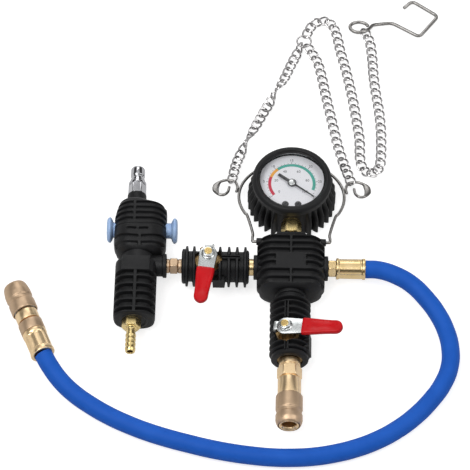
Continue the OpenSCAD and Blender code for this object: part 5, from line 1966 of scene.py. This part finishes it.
@dataclass
class Hanger:
    """The wire bail with its pigtail eyes, the chains and the hook."""

    pivot: Flat = (21.5, 28.0)
    tilt: float = 14.35
    bail_radius: float = 47.5
    bail_reach: float = 60.0
    bail_wire: float = 2.7
    eye_wire: float = 2.6
    chain_wire: float = 1.85
    link_width: float = 10.0
    pitch: float = 8.0
    play: float = 0.5
    twist: float = 28.0
    settle: float = 26.0
    left_roll: Flat = (-40.0, 500.0)
    rest_z: float = 5.0
    drop: float = 1.1
    hang: Flat = (-54.3, 79.2)
    eye: tuple[Flat, ...] = (
        (-49.85, 66), (-49, 72), (-50.8, 78.6), (-54.5, 81), (-59.4, 81.4), (-64.6, 79), (-68.0, 74),
        (-68.6, 67.6), (-65.8, 62.2), (-61, 61.6), (-57.6, 65.6), (-56.4, 72),
    )
    left_route: tuple[Spot, ...] = (
        (-52, 112, 8), (-50, 123, 6), (-46, 134, 5), (-42, 144.5, 5), (-36, 158, 5), (-30, 171, 5),
        (-25, 182, 5), (-19.5, 193, 5), (-14, 206, 5), (-7, 219, 5), (-4, 228, 5), (2.5, 244, 5),
        (7.9, 256.5, 5),
    )
    right_route: tuple[Spot, ...] = (
        (50, 112, 8), (47, 123, 6), (42, 142, 5), (38, 162, 5), (34, 182, 5), (30.5, 200, 5), (27, 220, 5),
        (23, 238, 5), (12.6, 256.8, 5),
    )
    hanger_route: tuple[Spot, ...] = (
        (11.8, 266.6, 5), (16, 279, 5), (22.6, 285, 5), (31.5, 286, 5), (37, 280, 5), (41, 269, 5),
        (44, 250.5, 5), (49, 230, 5), (53, 210, 5), (56.5, 190, 5), (59.5, 168, 5), (62, 150, 5),
        (62, 133, 5), (62.5, 122, 5), (66, 114.5, 5), (72, 112, 5), (78, 115, 5), (81, 122, 5),
        (81.6, 139, 5), (81.6, 161, 5), (80, 182, 5), (77, 202, 5), (75, 222, 5), (74, 243, 5),
        (72, 262, 5), (66.2, 275.9, 5),
    )
    junction: Spot = (10.0, 261.5, 5.0)
    junction_radius: float = 6.5
    hook_eye: Flat = (61.6, 277.6)
    hook_eye_reach: Flat = (8.5, 6.5)
    hook_shank: Flat = (77.0, 283.5)
    hook_wire: float = 3.2
    # Length and direction of each
    hook_legs: tuple[Flat, ...] = ((15.7, 10.7), (30.4, -31.7), (30.3, 53.6), (30.0, 144.0), (11.2, 226.5))
    hook_bend: float = 4.5

    def on_bail(self, x: float, u: float) -> Vector:
        """Gives a point of the bail's plane from x and its distance from the pivot."""
        tilt = math.radians(self.tilt)
        return Vector((x, self.pivot[0] + u * math.cos(tilt), self.pivot[1] - u * math.sin(tilt)))

    def build(self) -> None:
        """Makes the bail, the eyes, the chains and the hook."""
        self.bail()
        self.eyes()
        hang = self.on_bail(*self.hang)
        self.chain("left", [tuple(hang), *self.left_route])
        self.chain("right", [(-hang.x, hang.y, hang.z), *self.right_route])
        self.chain("hanger", self.hanger_route)
        self.hook()

    def bail(self) -> None:
        """Makes the bent wire that swings on the manifold."""
        half = [(24.0, 0.0), (33.0, 0.0), (34.1, 0.4), (34.5, 1.5), (34.5, 5.0), (34.5, 12.0)]
        half += arc(self.bail_radius, -34, 84, 24, (0.0, self.bail_reach))
        flat = half + [(0.0, self.bail_reach + self.bail_radius)] + [(-x, u) for x, u in reversed(half)]
        shell = Shell()
        wire(shell, smooth_path([tuple(self.on_bail(x, u)) for x, u in flat], 4), self.bail_wire / 2, 14)
        Piece("bent_bail", STEEL_WIRE, "steel_wire", ("bail_wire_hoop",), "bail_and_chain").lay(shell)

    def eyes(self) -> None:
        """Makes the two eyes that the chain hangs from, beaten flat at their outer bend."""
        shell = Shell()

        def beaten(share: float) -> Flat:
            """Gives the wire's scale across and upwards, wider where it is beaten flat."""
            wide = plateau(share, 0.5, 0.68, 0.06)
            return 1.0 + 1.35 * wide, 1.0 - 0.4 * wide

        for side in (1.0, -1.0):
            path = smooth_path([tuple(self.on_bail(side * x, u)) for x, u in self.eye], 8)
            wire(shell, path, self.eye_wire / 2, 14, Ends.CAPPED, beaten)
        Piece("bent_eyes", STEEL_WIRE, "steel_wire", ("pigtail_eyes",), "bail_and_chain").lay(shell)

    def link(self, shell: Shell, start: Vector, stop: Vector, roll: float) -> None:
        """Adds one twisted link.

        Args:
            shell: The chain that it is added to.
            start: Where it begins on the route.
            stop: Where it ends.
            roll: Angle in degrees that it is rolled by about the route.
        """
        ahead = stop - start
        pitch = ahead.length
        ahead.normalize()
        side = Vector((0.0, 0.0, 1.0)).cross(ahead).normalized()
        rise = ahead.cross(side)
        r = (self.link_width - self.chain_wire) / 2
        half = (pitch + self.play + self.chain_wire) / 2 - r
        flat = arc(r, -90, 90, 12, (half, 0.0)) + arc(r, 90, 270, 12, (-half, 0.0))
        middle = (start + stop) / 2
        lift = (r + self.chain_wire / 2) * abs(math.sin(math.radians(roll))) + 0.4
        middle.z = max(middle.z, lift)
        path = []
        for u, v in flat:
            turn = math.radians(self.twist * u / (half + r) + roll)
            path.append(middle + ahead * u + side * (v * math.cos(turn)) + rise * (v * math.sin(turn)))
        wire(shell, path, self.chain_wire / 2, 9, Ends.LOOPED)

    def chain(self, name: str, route: Sequence[Spot]) -> None:
        """Makes one length of chain.

        Args:
            name: Which length it is.
            route: The points that it runs through.
        """
        low = self.rest_z + 2.0
        knots = [Vector((x, y, z - self.drop if z < low else z)) for x, y, z in route]
        legs = [(b - a).length for a, b in zip(knots, knots[1:])]
        total = sum(legs)
        count = 2 * math.ceil((total / self.pitch - 1) / 2) + 1

        def along(distance: float) -> Vector:
            """Finds a point of the route.

            Args:
                distance: Distance along the route.

            Returns:
                The point.
            """
            leg = 0
            while leg < len(legs) - 1 and distance > legs[leg]:
                distance -= legs[leg]
                leg += 1
            return knots[leg] + (knots[leg + 1] - knots[leg]) * (distance / legs[leg])

        shell = Shell()
        first, turns = self.left_roll if name == "left" else (0.0, 0.0)
        for i in range(count):
            roll = first + turns * i / count
            roll -= self.settle * math.sin(math.radians(2 * roll))
            self.link(shell, along(total * i / count), along(total * (i + 1) / count), roll)
        if name == "hanger":
            x, y, z = self.junction
            ring = arc(self.junction_radius, 0, 345, 23, (x, y))
            wire(shell, [Vector((*p, z - self.drop)) for p in ring], self.chain_wire / 2, 10, Ends.LOOPED)
        Piece(f"twisted_chain_{name}", NICKEL, "zinc_plate", (f"chain_{name}",), "bail_and_chain").lay(shell)

    def hook(self) -> None:
        """Makes the bent wire hook on the last link."""
        low = self.hook_wire / 2
        x, y = self.hook_eye
        wide, deep = self.hook_eye_reach
        loop = arc(1.0, 18, 325, 26)
        path = [Vector((x + wide * a, y + deep * b, self.rest_z + 0.6 - 0.6 * b)) for a, b in loop]
        x, y = self.hook_shank
        rise = ((-6.0, -7.0, 4.8), (-4.4, -4.4, 4.2), (-2.8, -1.7, 3.4), (0.0, 0.0, low + 0.7))
        path += [Vector((x + a, y + b, z)) for a, b, z in rise]
        corner = Vector((x, y))
        corners = [tuple(corner)]
        for length, turn in self.hook_legs:
            corner = corner + Vector(arc(length, turn, turn, 1)[0])
            corners.append(tuple(corner))
        path += [Vector((*p, low)) for p in eased(corners, self.hook_bend, 6)[1:]]
        shell = Shell()
        wire(shell, path, low, 14)
        Piece("bent_hook", STEEL_WIRE, "steel_wire", ("hanging_hook",), "hook_swinger").lay(shell)


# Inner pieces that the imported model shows


INNER: tuple[tuple[Finish, tuple[str, ...]], ...] = (
    (BRASS, ("manifold_block", "bourdon_tube", "sector_gear", "venturi_nozzle")),
    (BRASS, ("vacuum_stem", "fill_stem")),
    # Valve bodies and retainers take brass darkened with painted shade
    (SHADE_DARKENED_BRASS, ("vacuum_valve_body", "vacuum_valve_retainer")),
    (SHADE_DARKENED_BRASS, ("fill_valve_body", "fill_valve_retainer")),
    (CHROME, ("vacuum_ball", "fill_ball", "fill_locking_balls", "valve_spool")),
    (SEAT_WHITE, ("vacuum_ball_seats", "fill_ball_seats")),
    (ZINC, ("gauge_case", "movement_frame", "venturi_body")),
    (STEEL_WIRE, ("fill_sleeve_spring", "far_sleeve_spring")),
    (RUBBER, ("spool_seals",)),
    (DIAL_WHITE, ("gauge_dial",)),
    (LENS, ("gauge_lens",)),
)


def finish_inner() -> None:
    """Gives the pieces that are shown as they were packed their finishes."""
    for finish, names in INNER:
        for name in names:
            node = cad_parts[name]
            node.data.materials.clear()
            node.data.materials.append(finish.material())
            LOG.info("finished %s", name)


def build() -> None:
    """Builds the whole object, with the camera and the hose first."""
    Studio().build()
    hose = Hose()
    tube = hose.build()
    far = hose.far_seat()
    end = Coupler("far", Seat(tuple(far.at(FERRULE_LENGTH, 0.0, 0.0)), far.along), waist=10.0, dome=9.0)
    ends = [end.far_ferrule(), end.far_ring(), end.far_body(), end.slide()]
    Manifold().build()
    Gauge().build()
    vacuum = BallValve(
        "vacuum",
        Seat((-73.0, 0.0, AXIS_Z)),
        ribs=(-19.0, -12.6, 10.3, 18.2, 25.4, 32.6),
        blocks=((-23.5, -20.4, 15.5), (33.8, 36.0, 15.0)),
        pad=(4.0, 15.0),
    )
    vacuum.build()
    fill = BallValve(
        "fill",
        Seat((0.0, -72.5, AXIS_Z), (0.0, 1.0, 0.0), (-0.1908, 0.0, 0.9816)),
        ribs=(-17.0, -11.0, -4.4, 2.2, 8.8, 15.4, 22.0, 28.6, 33.4),
        blocks=((-23.5, -19.4, 16.4),),
        pad=(-18.0, 2.0),
        soft=0.9,
        stop=40.5,
        slits=((12.0, 28.0), (-20.5, -12.0)),
    )
    fill.build()
    Fittings().build()
    coupler = Coupler("fill", Seat((0.0, -131.0, AXIS_Z), (0.0, -1.0, 0.0)), waist=14.0)
    coupler.fill_body()
    coupler.slide()
    Venturi().build()
    SlideValve().build()
    Hanger().build()
    finish_inner()


def main() -> None:
    """Builds the object."""
    logging.basicConfig(level=logging.INFO)
    build()


if __name__ == "__main__":
    main()
